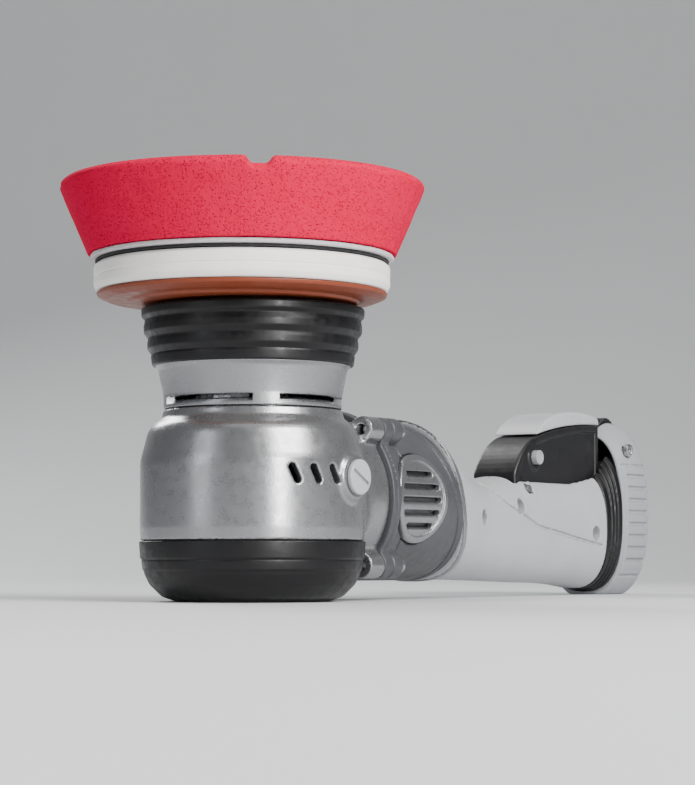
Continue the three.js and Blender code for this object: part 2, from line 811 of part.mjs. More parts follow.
function handleShell(half) {
  const skin = lofted(HANDLE_STATIONS);
  const openEnds = [[80, ...HANDLE_STATIONS[0].slice(1)], ...HANDLE_STATIONS, [290, 3, 62, 20.5]];
  const hollow = lofted(openEnds, SHELL_WALL);
  const bosses = SHELL_SCREWS.map(([x, z]) => barY(4.8, -40, 40, x, z, SMALL));
  const pivotBoss = cut(
    barY(6, -40, 40, TRIGGER_PIVOT.x, TRIGGER_PIVOT.y, SMALL),
    box(0, 400, -TRIGGER_SLOT_HALF_WIDTH, TRIGGER_SLOT_HALF_WIDTH, 0, 100),
  );
  const inside = join(...bosses, pivotBoss).intersect(skin);
  const shell = join(cut(skin, hollow), inside).intersect(behindSeam(0));
  const screwHoles = SHELL_SCREWS.map(([x, z]) => barY(2.1, -30, 12, x, z, 8));
  const headRoom = SHELL_SCREWS.map(([x, z]) => barY(3.5, -40, -9, x, z, SMALL));
  const pivotHole = barY(2.9, -16.6, 16.6, TRIGGER_PIVOT.x, TRIGGER_PIVOT.y, SMALL);
  return cut(shell, triggerSlot(), pivotHole, ...screwHoles, ...headRoom).intersect(half);
}

const shellScrew = ([x, z]) =>
  join(barY(3.1, -13, -9.3, x, z, SMALL), barY(1.7, -10, 11, x, z, 8));

function collar() {
  const hollow = lofted([[260, 3, 62, 20.5], [290, 1.2, 74, 22]], SHELL_WALL);
  return cut(lofted(COLLAR_STATIONS), hollow, triggerSlot());
}

function tail() {
  const skin = lofted(TAIL_STATIONS);
  const middle = TAIL_STATIONS.slice(1, 4).map(([x, , high, halfWidth]) => [x, 1, high, halfWidth]);
  const hollow = lofted([[276, 1, 80, 22], ...middle, [308.5, 9, 75, 18]], SHELL_WALL);
  const dialSlot = box(DIAL_POINT.x - 12, DIAL_POINT.x + 12, -4.9, 4.9, DIAL_POINT.y - 13, 120);
  const glandHole = barX(7.3, 295, 330, 0, GLAND_Z);
  const screwHole = barY(2, -30, 30, TAIL_SCREW.x, TAIL_SCREW.y, SMALL);
  const headRoom = join(
    barY(3.4, -40, -19.4, TAIL_SCREW.x, TAIL_SCREW.y, SMALL),
    barY(3.4, 19.4, 40, TAIL_SCREW.x, TAIL_SCREW.y, SMALL),
  );
  const belowFloor = box(200, 400, -60, 60, -20, 0);
  return cut(skin, hollow, dialSlot, glandHole, screwHole, headRoom, belowFloor);
}

// Side view of the trigger. The finger plate lies on it from its nose to its rear edge.
function triggerShape() {
  const shape = new THREE.Shape();
  const { x, y } = TRIGGER_PIVOT;
  shape.moveTo(x - 5.5, y);
  shape.lineTo(x - 5.5, y + 8);
  shape.quadraticCurveTo(x + 1, y + 21, PLATE_NOSE_X, PLATE_NOSE_Z - 1);
  shape.quadraticCurveTo(x + 45, y + 34, TRIGGER_REAR_X, PLATE_REAR_Z);
  shape.lineTo(TRIGGER_REAR_X, y + 8);
  shape.lineTo(TRIGGER_REAR_X - 8, y + 2);
  shape.lineTo(x + 20, y);
  shape.lineTo(x + 5, y - 4);
  shape.quadraticCurveTo(x - 3, y - 6.5, x - 5.5, y);
  return shape;
}

function fingerPlateShape() {
  const shape = new THREE.Shape();
  const { x, y } = TRIGGER_PIVOT;
  shape.moveTo(PLATE_NOSE_X, PLATE_NOSE_Z);
  shape.quadraticCurveTo(x + 22, y + 36, x + 38, y + 38.5);
  shape.quadraticCurveTo(x + 56, y + 41, TRIGGER_REAR_X - 4, y + 38.5);
  shape.quadraticCurveTo(TRIGGER_REAR_X, y + 38, TRIGGER_REAR_X, PLATE_REAR_Z + GAP);
  shape.quadraticCurveTo(x + 45, y + 34 + GAP, PLATE_NOSE_X, PLATE_NOSE_Z);
  return shape;
}

function trigger() {
  const pinHole = barY(2.8, -30, 30, TRIGGER_PIVOT.x, TRIGGER_PIVOT.y, SMALL);
  const lockHole = barY(LOCK_R + GAP, -30, 30, LOCK_POINT.x, LOCK_POINT.y, SMALL);
  return cut(plate(triggerShape(), TRIGGER_HALF_WIDTH), pinHole, lockHole);
}

function speedDial() {
  const wheel = barY(DIAL_R, -4.2, 4.2, DIAL_POINT.x, DIAL_POINT.y);
  return cut(wheel, barY(2.3, -10, 10, DIAL_POINT.x, DIAL_POINT.y, SMALL));
}

function dialPot() {
  const body = box(DIAL_POINT.x - 5, DIAL_POINT.x + 5, 5.2, 9.5, DIAL_POINT.y - 9, DIAL_POINT.y + 0.5);
  return join(body, barY(2, -4.5, 6, DIAL_POINT.x, DIAL_POINT.y, SMALL));
}

function cableGland() {
  const flange = barX(10, 312.3, 315.5, 0, GLAND_Z);
  const barrel = barX(7, 300, 313, 0, GLAND_Z);
  return cut(join(flange, barrel), barX(4.2, 290, 320, 0, GLAND_Z, SMALL));
}

const switchModule = () => join(box(208, 246, -10, 10, 16, 38), box(223, 229, -3, 3, 37, 46));

function speedBoard() {
  const board = box(150, 182, -13, 13, 20, 22);
  const heatSink = box(152, 156, -11, 11, 21, 32);
  const capacitor = barY(5, -8, 8, 166, 26.5, SMALL);
  const chip = box(173, 180, -5, 5, 21, 25);
  return join(board, heatSink, capacitor, chip);
}

function handleAssembly() {
  const group = new THREE.Group();
  group.add(piece("handle_shell_left", handleShell(leftHalf), SHELL_GREY));
  group.add(piece("handle_shell_right", handleShell(rightHalf), SHELL_GREY));
  SHELL_SCREWS.forEach((place, i) => {
    group.add(piece(`shell_screw_${i + 1}`, shellScrew(place), STEEL));
  });
  group.add(piece("grip_collar", collar(), RUBBER_BLACK));
  group.add(piece("tail_bumper", tail(), RUBBER_GREY));
  const pin = barY(2.5, -16.3, 16.3, TRIGGER_PIVOT.x, TRIGGER_PIVOT.y, SMALL);
  group.add(piece("trigger_pin", pin, STEEL));
  group.add(piece("cable_gland", cableGland(), NYLON_BLACK));
  group.add(piece("switch_module", switchModule(), NYLON_BLACK));
  group.add(piece("speed_board", speedBoard(), BOARD_GREEN));
  group.add(piece("dial_potentiometer", dialPot(), NYLON_BLACK));
  for (const [name, side] of [["tail_screw_left", 1], ["tail_screw_right", -1]]) {
    const head = barY(3.1, 19.7, 22, TAIL_SCREW.x, TAIL_SCREW.y, SMALL);
    const screw = join(head, barY(1.7, 12, 20.5, TAIL_SCREW.x, TAIL_SCREW.y, SMALL));
    group.add(piece(name, side > 0 ? screw : screw.mirror([0, 1, 0]), STEEL));
  }
  group.add(piece("trigger", trigger(), NYLON_BLACK));
  const fingerPlate = plate(fingerPlateShape(), TRIGGER_HALF_WIDTH + 0.3);
  group.add(piece("trigger_finger_plate", fingerPlate, SHELL_GREY));
  const button = barY(LOCK_R, -14.3, 9, LOCK_POINT.x, LOCK_POINT.y, SMALL);
  group.add(piece("lock_button", button, RUBBER_GREY));
  group.add(piece("speed_dial", speedDial(), NYLON_BLACK));
  return group;
}

const polisher = new THREE.Group();
polisher.add(
  padAssembly(),
  spindleAssembly(),
  headAssembly(),
  armatureAssembly(),
  motorAssembly(),
  handleAssembly(),
);

export default polisher;
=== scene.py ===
"""A dual-action machine polisher, stored upside down with its foam pad upwards.

Shapes are written in millimetres in the part's frame, and turned into metres when a mesh is made.
"""
import json
import math

import bmesh
import bpy
import numpy as np
from mathutils import Matrix, Vector, noise


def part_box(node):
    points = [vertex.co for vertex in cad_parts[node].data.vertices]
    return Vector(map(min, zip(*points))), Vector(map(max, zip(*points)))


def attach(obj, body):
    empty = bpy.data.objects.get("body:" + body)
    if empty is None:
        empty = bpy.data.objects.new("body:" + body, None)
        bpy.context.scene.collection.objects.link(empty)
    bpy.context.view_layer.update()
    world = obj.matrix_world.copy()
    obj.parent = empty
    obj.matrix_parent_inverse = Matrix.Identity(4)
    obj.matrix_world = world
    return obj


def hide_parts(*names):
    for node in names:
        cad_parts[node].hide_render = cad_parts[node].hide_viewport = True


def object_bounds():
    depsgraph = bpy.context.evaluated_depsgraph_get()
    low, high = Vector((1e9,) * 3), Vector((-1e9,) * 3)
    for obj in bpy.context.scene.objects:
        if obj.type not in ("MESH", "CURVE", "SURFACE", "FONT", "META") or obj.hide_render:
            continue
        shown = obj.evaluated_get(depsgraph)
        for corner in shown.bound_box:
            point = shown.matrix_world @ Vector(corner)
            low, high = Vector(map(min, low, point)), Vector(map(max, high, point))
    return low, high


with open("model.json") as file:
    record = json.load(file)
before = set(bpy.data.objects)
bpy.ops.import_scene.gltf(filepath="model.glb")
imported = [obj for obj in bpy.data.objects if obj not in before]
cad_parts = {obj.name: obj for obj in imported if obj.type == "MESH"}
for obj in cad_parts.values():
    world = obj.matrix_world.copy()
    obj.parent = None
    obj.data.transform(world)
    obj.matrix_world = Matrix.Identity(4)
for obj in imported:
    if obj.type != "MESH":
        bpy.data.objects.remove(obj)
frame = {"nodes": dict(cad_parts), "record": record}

MM = 0.001
SIDES = (("left", 1), ("right", -1))
cad_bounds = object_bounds()


def in_mm(node):
    low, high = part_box(node)
    return low / MM, high / MM


def round_size(node):
    """The lowest and highest places of a round node, and its radius, in millimetres."""
    low, high = in_mm(node)
    return low.z, high.z, (high.x - low.x) / 2


# ---------------------------------------------------------------- camera and stage
VIEW_AZIMUTH = math.radians(-55.6)
CAMERA_DISTANCE = 1.0  # metres
CAMERA_HEIGHT = 0.016
LENS = 112

towards_camera = Vector((math.sin(VIEW_AZIMUTH), -math.cos(VIEW_AZIMUTH), 0))
to_the_right = Vector((math.cos(VIEW_AZIMUTH), math.sin(VIEW_AZIMUTH), 0))


def make_camera():
    pad_low, pad_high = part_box("foam_pad")
    tail_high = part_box("tail_bumper")[1]
    left = (pad_low + pad_high).dot(to_the_right) / 2 - (pad_high.x - pad_low.x) / 2
    right = tail_high.dot(to_the_right)
    aim = to_the_right * (left + right) / 2
    aim.z = (cad_bounds[0].z + cad_bounds[1].z) / 2
    place = aim + towards_camera * CAMERA_DISTANCE
    place.z = CAMERA_HEIGHT
    data = bpy.data.cameras.new("camera")
    data.lens = LENS
    data.sensor_width = 36
    camera = bpy.data.objects.new("camera", data)
    camera.location = place
    camera.rotation_euler = (aim - place).to_track_quat("-Z", "Y").to_euler()
    bpy.context.scene.collection.objects.link(camera)
    bpy.context.scene.camera = camera
    return aim


def add_light(name, aim, direction, distance, size, power, colour):
    data = bpy.data.lights.new(name, "AREA")
    data.shape = "RECTANGLE"
    data.size, data.size_y = size
    data.energy = power
    data.color = colour
    light = bpy.data.objects.new(name, data)
    light.location = aim + direction.normalized() * distance
    light.rotation_euler = (-direction).to_track_quat("-Z", "Y").to_euler()
    bpy.context.scene.collection.objects.link(light)


def light_the_stage(aim):
    up = Vector((0, 0, 1))
    key = towards_camera * 0.8 + to_the_right * 0.75 + up * 0.8
    streak = towards_camera + to_the_right * 0.55 + up * 0.14
    fill = towards_camera * 0.8 - to_the_right * 1.0 + up * 0.35
    rim = -towards_camera * 0.9 - to_the_right * 0.55 + up * 0.8
    add_light("key_light", aim, key, 1.5, (0.8, 0.6), 32, (1.0, 0.985, 0.96))
    add_light("streak_light", aim, streak, 1.35, (0.16, 0.5), 12, (1.0, 0.99, 0.98))
    add_light("fill_light", aim, fill, 1.7, (0.5, 1.0), 4, (0.95, 0.97, 1.0))
    add_light("rim_light", aim, rim, 1.5, (0.4, 0.9), 15, (1.0, 1.0, 1.0))
    add_light("top_light", aim, up + towards_camera * 0.15, 1.3, (1.1, 1.1), 5, (1.0, 1.0, 1.0))
    world = bpy.data.worlds.new("studio")
    world.use_nodes = True
    background = world.node_tree.nodes["Background"]
    background.inputs["Color"].default_value = (0.85, 0.87, 0.9, 1)
    background.inputs["Strength"].default_value = 0.22
    bpy.context.scene.world = world


# ---------------------------------------------------------------- meshes
SMOOTH_ANGLE = 32  # degrees: a sharper edge than this stays an edge


def make_piece(name, points, faces, smooth_angle=SMOOTH_ANGLE):
    mesh = bpy.data.meshes.new(name)
    mesh.from_pydata([tuple(Vector(p) * MM) for p in points], [], faces)
    obj = bpy.data.objects.new(name, mesh)
    bpy.context.scene.collection.objects.link(obj)
    return tidy(obj, smooth_angle)


def tidy(obj, smooth_angle=SMOOTH_ANGLE):
    """Joins doubled points, turns the faces outwards and shades curved stretches smoothly."""
    work = bmesh.new()
    work.from_mesh(obj.data)
    bmesh.ops.remove_doubles(work, verts=work.verts, dist=0.002 * MM)
    bmesh.ops.dissolve_degenerate(work, edges=work.edges, dist=0.002 * MM)
    bmesh.ops.recalc_face_normals(work, faces=work.faces)
    work.to_mesh(obj.data)
    work.free()
    obj.data.shade_smooth()
    obj.data.set_sharp_from_angle(angle=math.radians(smooth_angle))
    return obj


def cut(obj, tools):
    """Takes each tool in turn away from the piece. The tools are used up."""
    for tool in tools:
        step = obj.modifiers.new("cut", "BOOLEAN")
        step.operation = "DIFFERENCE"
        step.solver = "EXACT"
        step.object = tool
        depsgraph = bpy.context.evaluated_depsgraph_get()
        carved = bpy.data.meshes.new_from_object(obj.evaluated_get(depsgraph))
        obj.modifiers.clear()
        obj.data = carved
        bpy.data.objects.remove(tool)
    return tidy(obj)


def filleted(corners, closed=False, step=math.radians(11)):
    """Corner points (across, up, radius) as an outline whose corners are arcs."""
    outline = []
    last = len(corners) - 1
    for i, (across, up, radius) in enumerate(corners):
        here = Vector((across, up))
        if radius <= 0 or (not closed and i in (0, last)):
            outline.append(here)
            continue
        before = Vector(corners[i - 1][:2]) - here
        after = Vector(corners[(i + 1) % len(corners)][:2]) - here
        half = before.angle(after) / 2
        reach = min(radius / math.tan(half), 0.49 * before.length, 0.49 * after.length)
        arc_radius = reach * math.tan(half)
        start = here + before.normalized() * reach
        end = here + after.normalized() * reach
        middle = here + (before.normalized() + after.normalized()).normalized() * arc_radius / math.sin(half)
        from_angle = math.atan2(start.y - middle.y, start.x - middle.x)
        to_angle = math.atan2(end.y - middle.y, end.x - middle.x)
        sweep = (to_angle - from_angle + math.pi) % (2 * math.pi) - math.pi
        steps = max(2, math.ceil(abs(sweep) / step))
        for k in range(steps + 1):
            angle = from_angle + sweep * k / steps
            outline.append(middle + Vector((math.cos(angle), math.sin(angle))) * arc_radius)
    return outline


def ring_faces(rows, count):
    """The faces of a closed tube: rings of equally many points, the last joined to the first."""
    faces = []
    for i in range(rows):
        a, b = i * count, (i + 1) % rows * count
        for k in range(count):
            n = (k + 1) % count
            faces.append((a + k, b + k, b + n, a + n))
    return faces


def lofted(name, rings):
    """Joins rings of equally many points. A ring of one point closes an end; other ends are filled in."""
    points, faces, starts = [], [], []
    for ring in rings:
        starts.append(len(points))
        points.extend(ring)
    count = max(len(ring) for ring in rings)
    for a, b, first, second in zip(starts, starts[1:], rings, rings[1:]):
        for k in range(count):
            n = (k + 1) % count
            if len(first) == 1:
                faces.append((a, b + k, b + n))
            elif len(second) == 1:
                faces.append((a + k, b, a + n))
            else:
                faces.append((a + k, b + k, b + n, a + n))
    for start, ring in ((0, rings[0]), (starts[-1], rings[-1])):
        if len(ring) > 1:
            faces.append(tuple(range(start, start + count)))
    return make_piece(name, points, faces)


def round_ring(radius, height, count, centre=(0, 0), wave=None):
    ring = []
    for k in range(count):
        angle = 2 * math.pi * k / count
        reach = radius * (wave(angle) if wave else 1)
        ring.append((centre[0] + reach * math.cos(angle), centre[1] + reach * math.sin(angle), height))
    return ring


def turned(name, outline, centre=(0, 0), count=144, closed=False):
    """An outline of (radius, height) turned round an upright axis."""
    rings = []
    for radius, height in outline:
        if radius < 1e-6:
            rings.append([(centre[0], centre[1], height)])
        else:
            rings.append(round_ring(radius, height, count, centre))
    if not closed:
        return lofted(name, rings)
    return make_piece(name, [p for ring in rings for p in ring], ring_faces(len(rings), count))


def lay_along_x(obj, y, z):
    """Turns a piece made round the upright axis so that its height runs along +X."""
    turn = Matrix.Rotation(math.pi / 2, 4, "Y")
    obj.data.transform(Matrix.Translation(Vector((0, y, z)) * MM) @ turn)
    return obj


def lay_along_y(obj, x, z, side):
    """Turns a piece made round the upright axis so that its height runs outwards along Y on one side."""
    turn = Matrix.Rotation(-side * math.pi / 2, 4, "X")
    obj.data.transform(Matrix.Translation(Vector((x, 0, z)) * MM) @ turn)
    return obj


def bar(radius, low, high, count=48):
    return turned("bar", [(0, low), (radius, low), (radius, high), (0, high)], count=count)


def block(low, high):
    corners = [(x, y, z) for x in (low[0], high[0]) for y in (low[1], high[1]) for z in (low[2], high[2])]
    faces = [(0, 1, 3, 2), (4, 6, 7, 5), (0, 4, 5, 1), (2, 3, 7, 6), (0, 2, 6, 4), (1, 5, 7, 3)]
    return make_piece("block", corners, faces)


def soft_step(low, high, value):
    t = max(0.0, min(1.0, (value - low) / (high - low)))
    return t * t * (3 - 2 * t)


def smooth_between(stations, x):
    """The values of stations (place, value, value...) at a place, along one smooth curve."""
    if x <= stations[0][0]:
        return stations[0][1:]
    if x >= stations[-1][0]:
        return stations[-1][1:]
    i = max(k for k in range(len(stations) - 1) if stations[k][0] <= x)
    a, b = stations[i], stations[i + 1]
    before, after = stations[max(i - 1, 0)], stations[min(i + 2, len(stations) - 1)]
    span = b[0] - a[0]
    t = (x - a[0]) / span
    values = []
    for k in range(1, len(a)):
        rise_a = (b[k] - before[k]) / (b[0] - before[0]) * span
        rise_b = (after[k] - a[k]) / (after[0] - a[0]) * span
        values.append(
            (2 * t**3 - 3 * t**2 + 1) * a[k] + (t**3 - 2 * t**2 + t) * rise_a
            + (3 * t**2 - 2 * t**3) * b[k] + (t**3 - t**2) * rise_b
        )
    return tuple(values)


# ---------------------------------------------------------------- soft-edged castings and mouldings
# A shape is a function of x, y and z in millimetres that is below zero inside it and close to a distance
# near its surface. Shapes are added and cut with rounded joints, as in a casting, and then made into a mesh.
def soft_min(a, b, radius):
    share = np.clip(0.5 + 0.5 * (b - a) / radius, 0, 1)
    return b + (a - b) * share - radius * share * (1 - share)


def soft_max(a, b, radius):
    return -soft_min(-a, -b, radius)


def carve(body, tool, radius=0.5):
    return soft_max(body, -tool, radius)


def outline_distance(outline, u, v):
    nearest = np.full(u.shape, 1e9)
    inside = np.zeros(u.shape, bool)
    corners = [tuple(p)[:2] for p in outline]
    for (au, av), (bu, bv) in zip(corners, corners[1:] + corners[:1]):
        du, dv = bu - au, bv - av
        length = du * du + dv * dv
        if length < 1e-9:
            continue
        along = np.clip(((u - au) * du + (v - av) * dv) / length, 0, 1)
        nearest = np.minimum(nearest, (u - au - along * du) ** 2 + (v - av - along * dv) ** 2)
        if dv:
            inside ^= ((av > v) != (bv > v)) & (u < du * (v - av) / dv + au)
    return np.where(inside, -1, 1) * np.sqrt(nearest)


class Profile:
    """A closed outline whose distance is looked up in a fine table."""

    STEP = 0.25
    MARGIN = 6

    def __init__(self, corners):
        outline = filleted(corners, closed=True)
        self.start = [min(p[k] for p in outline) - self.MARGIN for k in (0, 1)]
        end = [max(p[k] for p in outline) + self.MARGIN for k in (0, 1)]
        axes = [np.arange(a, b, self.STEP) for a, b in zip(self.start, end)]
        self.table = outline_distance(outline, *np.meshgrid(*axes, indexing="ij"))

    def __call__(self, u, v):
        spots, parts = [], []
        for value, start, size in zip((u, v), self.start, self.table.shape):
            spot = np.clip((value - start) / self.STEP, 0, size - 1.001)
            whole = spot.astype(int)
            spots.append(whole)
            parts.append(spot - whole)
        (i, j), (a, b) = spots, parts
        t = self.table
        near = t[i, j] * (1 - a) + t[i + 1, j] * a
        far = t[i, j + 1] * (1 - a) + t[i + 1, j + 1] * a
        return near * (1 - b) + far * b


def rod(u, v, along, radius, low, high, edge=0.5):
    """A round bar: u and v are measured from its axis."""
    return soft_max(np.hypot(u, v) - radius, np.abs(along - (low + high) / 2) - (high - low) / 2, edge)


def cross_rod(x, y, z, at, radius, reach, edge=0.5):
    """A round bar across the tool, through a place (x, z)."""
    return rod(x - at[0], z - at[1], y, radius, -reach, reach, edge)


def off_axis(x, z, at):
    return np.hypot(x - at[0], z - at[1])


def slab(x, low, high):
    return np.abs(x - (low + high) / 2) - (high - low) / 2


class Sections:
    """Rounded sections along X: (x, lowest z, highest z, half width), joined by one smooth curve."""

    def __init__(self, stations, squareness=2.5):
        self.squareness = squareness
        self.x = np.arange(stations[0][0], stations[-1][0] + 0.5, 0.5)
        self.values = np.array([smooth_between(stations, x) for x in self.x])

    def __call__(self, x, y, z, inset=0.0):
        low, high, half = (np.interp(x, self.x, self.values[:, k]) for k in range(3))
        tall = (high - low) / 2 - inset
        wide = half - inset
        across = np.abs(y) / wide
        up = np.abs(z - (low + high) / 2) / tall
        reach = (across ** self.squareness + up ** self.squareness) ** (1 / self.squareness)
        return (reach - 1) * np.minimum(tall, wide)


def surface(name, field, low, high, pitch):
    """A mesh of the surface where the field is zero, with the field's own smooth normals."""
    start = np.array(low, float) - 2 * pitch
    axes = [np.arange(a, b + 2 * pitch, pitch) for a, b in zip(start, high)]
    values = field(*np.meshgrid(*axes, indexing="ij"))
    inside = values < 0
    cells = tuple(n - 1 for n in values.shape)
    total = np.zeros((*cells, 3))
    hits = np.zeros(cells)
    quads = []
    for axis in range(3):
        others = ((axis + 1) % 3, (axis + 2) % 3)
        ends = [np.take(values, np.arange(k, cells[axis] + k), axis) for k in (0, 1)]
        crossed = (ends[0] < 0) != (ends[1] < 0)
        share = np.where(crossed, ends[0] / np.where(crossed, ends[0] - ends[1], 1), 0)
        for one in (0, 1):
            for two in (0, 1):
                part = [slice(None)] * 3
                part[others[0]] = slice(one, cells[others[0]] + one)
                part[others[1]] = slice(two, cells[others[1]] + two)
                here = crossed[tuple(part)]
                total[..., axis] += share[tuple(part)]
                total[..., others[0]] += here * one
                total[..., others[1]] += here * two
                hits += here
        spots = np.argwhere(crossed)
        fits = np.all([(spots[:, k] >= 1) & (spots[:, k] < cells[k]) for k in others], axis=0)
        spots = spots[fits]
        back = [np.eye(3, dtype=int)[k] for k in others]
        ring = np.stack([spots, spots - back[0], spots - back[0] - back[1], spots - back[1]], axis=1)
        outwards = inside[tuple(spots.T)]
        ring[~outwards] = ring[~outwards][:, ::-1]
        quads.append(ring)
    used = hits > 0
    index = np.full(cells, -1)
    index[used] = np.arange(used.sum())
    points = start + (np.argwhere(used) + total[used] / hits[used][:, None]) * pitch
    faces = index[tuple(np.moveaxis(np.concatenate(quads), 2, 0))]

    def slope(reach):
        parts = []
        for k in range(3):
            step = np.eye(3)[k] * reach
            parts.append((field(*(points + step).T) - field(*(points - step).T)) / (2 * reach))
        return np.stack(parts, axis=1)

    for _ in range(2):
        steep = slope(0.25 * pitch)
        off = field(*points.T) / np.maximum((steep ** 2).sum(1), 0.05)
        points = points - np.clip(off, -0.5 * pitch, 0.5 * pitch)[:, None] * steep
    normals = slope(0.45)
    normals /= np.maximum(np.linalg.norm(normals, axis=1), 1e-6)[:, None]
    mesh = bpy.data.meshes.new(name)
    mesh.from_pydata((points * MM).tolist(), [], faces.tolist())
    mesh.shade_smooth()
    mesh.normals_split_custom_set_from_vertices(normals.tolist())
    obj = bpy.data.objects.new(name, mesh)
    bpy.context.scene.collection.objects.link(obj)
    return obj


# ---------------------------------------------------------------- materials
DUST = (0.42, 0.4, 0.37)
finishes = {}  # each finish by its name, which is also the name of its material slot


class Finish:
    """A procedural material under construction. Sizes are in millimetres, on the object's own coordinates."""

    def __init__(self, name, colour, roughness, metallic=0.0):
        material = finishes[name] = bpy.data.materials.new(name)
        material.use_nodes = True
        self.tree = material.node_tree
        self.tree.nodes.clear()
        self.colour = colour
        self.roughness = roughness
        self.shader = self.add("ShaderNodeBsdfPrincipled", {
            "Base Color": (*colour, 1), "Roughness": roughness, "Metallic": metallic})
        self.add("ShaderNodeOutputMaterial", {0: self.shader.outputs[0]})
        spot = self.add("ShaderNodeTexCoord", {}).outputs["Object"]
        self.place = self.add("ShaderNodeMapping", {"Scale": (1 / MM,) * 3, "Vector": spot}).outputs[0]
        self.normal = None

    def feed(self, node, values):
        """Sets a node's inputs. A value may be the output of another node."""
        for key, value in values.items():
            if isinstance(value, bpy.types.NodeSocket):
                self.tree.links.new(value, node.inputs[key])
            else:
                node.inputs[key].default_value = value
        return node

    def add(self, kind, values, **settings):
        made = self.tree.nodes.new(kind)
        for key, value in settings.items():
            setattr(made, key, value)
        return self.feed(made, values)

    def stretched(self, scale):
        """Coordinates squeezed along the axes, for brushed or woven marks."""
        return self.add("ShaderNodeMapping", {"Scale": scale, "Vector": self.place}).outputs[0]

    def noise(self, size, detail=3, roughness=0.55, vector=None):
        values = {"Scale": 1 / size, "Detail": detail, "Roughness": roughness, "Vector": vector or self.place}
        return self.add("ShaderNodeTexNoise", values).outputs["Fac"]

    def cells(self, size, feature="F1"):
        values = {"Scale": 1 / size, "Vector": self.place}
        return self.add("ShaderNodeTexVoronoi", values, feature=feature).outputs["Distance"]

    def ramp(self, value, low, high, at=(0.35, 0.65)):
        values = {"Value": value, "From Min": at[0], "From Max": at[1], "To Min": low, "To Max": high}
        return self.add("ShaderNodeMapRange", values).outputs[0]

    def tint(self, value, other):
        """Mixes the base colour with another one, as far as the value says."""
        socket = self.shader.inputs["Base Color"]
        before = socket.links[0].from_socket if socket.is_linked else (*self.colour, 1)
        mix = self.add("ShaderNodeMix", {0: value, 6: before, 7: (*other, 1)}, data_type="RGBA")
        self.tree.links.new(mix.outputs[2], socket)

    def vary_roughness(self, size, spread, detail=4):
        rough, smooth = self.roughness + spread, self.roughness - spread
        self.feed(self.shader, {"Roughness": self.ramp(self.noise(size, detail), smooth, rough, (0.3, 0.7))})

    def bend_normal(self, node):
        self.normal = node.outputs[0]
        self.feed(self.shader, {"Normal": self.normal})

    def rounded_edges(self, radius):
        self.bend_normal(self.add("ShaderNodeBevel", {"Radius": radius * MM}, samples=4))

    def bump(self, value, depth, strength=1.0):
        values = {"Distance": depth * MM, "Strength": strength, "Height": value}
        if self.normal:
            values["Normal"] = self.normal
        self.bend_normal(self.add("ShaderNodeBump", values))

    def dust(self, amount):
        """A thin film of dust on what faces up."""
        facing = self.add("ShaderNodeNewGeometry", {}).outputs["Normal"]
        upward = self.ramp(self.add("ShaderNodeSeparateXYZ", {0: facing}).outputs["Z"], 0, amount, (0.35, 1.0))
        patches = self.ramp(self.noise(9, 6, 0.65), 0.35, 1.0)
        both = self.add("ShaderNodeMath", {0: upward, 1: patches}, operation="MULTIPLY")
        self.tint(both.outputs[0], DUST)


def foam_finish():
    f = Finish("foam_red", (0.64, 0.0, 0.044), 0.92)
    f.tint(f.ramp(f.noise(14, 3), 0.0, 0.30), (0.70, 0.0, 0.070))
    # The pores and finer cells are tinted a darker red: painted shade in the foam's pits, which the bumps
    # below also sink.
    pores_and_shade = f.cells(0.95)
    fine = f.cells(0.5)
    f.tint(f.ramp(pores_and_shade, 0.7, 0.0, (0.05, 0.32)), (0.28, 0.0, 0.012))
    f.tint(f.ramp(fine, 0.4, 0.0, (0.05, 0.3)), (0.36, 0.0, 0.019))
    f.bump(f.ramp(pores_and_shade, 0.0, 1.0, (0.05, 0.4)), 0.5, 0.8)
    f.bump(fine, 0.2, 0.6)
    f.bump(f.noise(9, 3), 0.6, 0.35)
    f.feed(f.shader, {"Sheen Weight": 0.03, "Sheen Roughness": 0.5, "Sheen Tint": (1.0, 0.1, 0.25, 1),
                      "Specular IOR Level": 0.06})


def loop_finish():
    # The loop cloth is greyed and tinted lilac, darkest between the fibres: partly the cloth's own fibre
    # pattern, partly painted shade for the band that lies under the foam's rim.
    f = Finish("loop_white", (0.78, 0.75, 0.76), 0.95)
    fibres_and_shade = f.noise(0.5, 5, 0.8, f.stretched((1.0, 1.0, 3.0)))
    f.tint(f.ramp(fibres_and_shade, 0.5, 0.0), (0.42, 0.39, 0.40))
    f.bump(fibres_and_shade, 0.6, 0.9)
    f.bump(f.cells(0.9), 0.3, 0.6)
    f.feed(f.shader, {"Sheen Weight": 0.2})


def cushion_finish():
    f = Finish("cushion_white", (0.93, 0.91, 0.88), 0.6)
    f.tint(f.ramp(f.noise(16, 5, 0.7), 0.0, 0.25, (0.5, 0.8)), (0.66, 0.60, 0.52))
    f.tint(f.ramp(f.noise(2.2, 6, 0.75), 0.0, 0.5, (0.66, 0.76)), (0.35, 0.30, 0.26))
    f.vary_roughness(6, 0.1)
    f.bump(f.noise(0.35, 2), 0.05, 0.6)
    f.bump(f.noise(8, 3), 0.25, 0.4)


def plastic_finish(name, colour, roughness, grain=0.28, depth=0.035, dust=0.0):
    """Moulded plastic with a spark-eroded grain, scuffs and a duller, greasier film in patches."""
    f = Finish(name, colour, roughness)
    f.rounded_edges(0.35)
    scuffs = f.noise(3.0, 8, 0.75, f.stretched((0.35, 1.0, 1.4)))
    lighter = tuple(min(1.0, c * 1.25 + 0.006) for c in colour)
    f.tint(f.ramp(scuffs, 0.0, 0.55, (0.60, 0.74)), lighter)
    f.tint(f.ramp(f.noise(22, 3), 0.0, 0.22), tuple(c * 0.72 for c in colour))
    f.vary_roughness(4.5, 0.09, 6)
    f.bump(f.cells(grain, "SMOOTH_F1"), depth, 0.5)
    if dust:
        f.dust(dust)


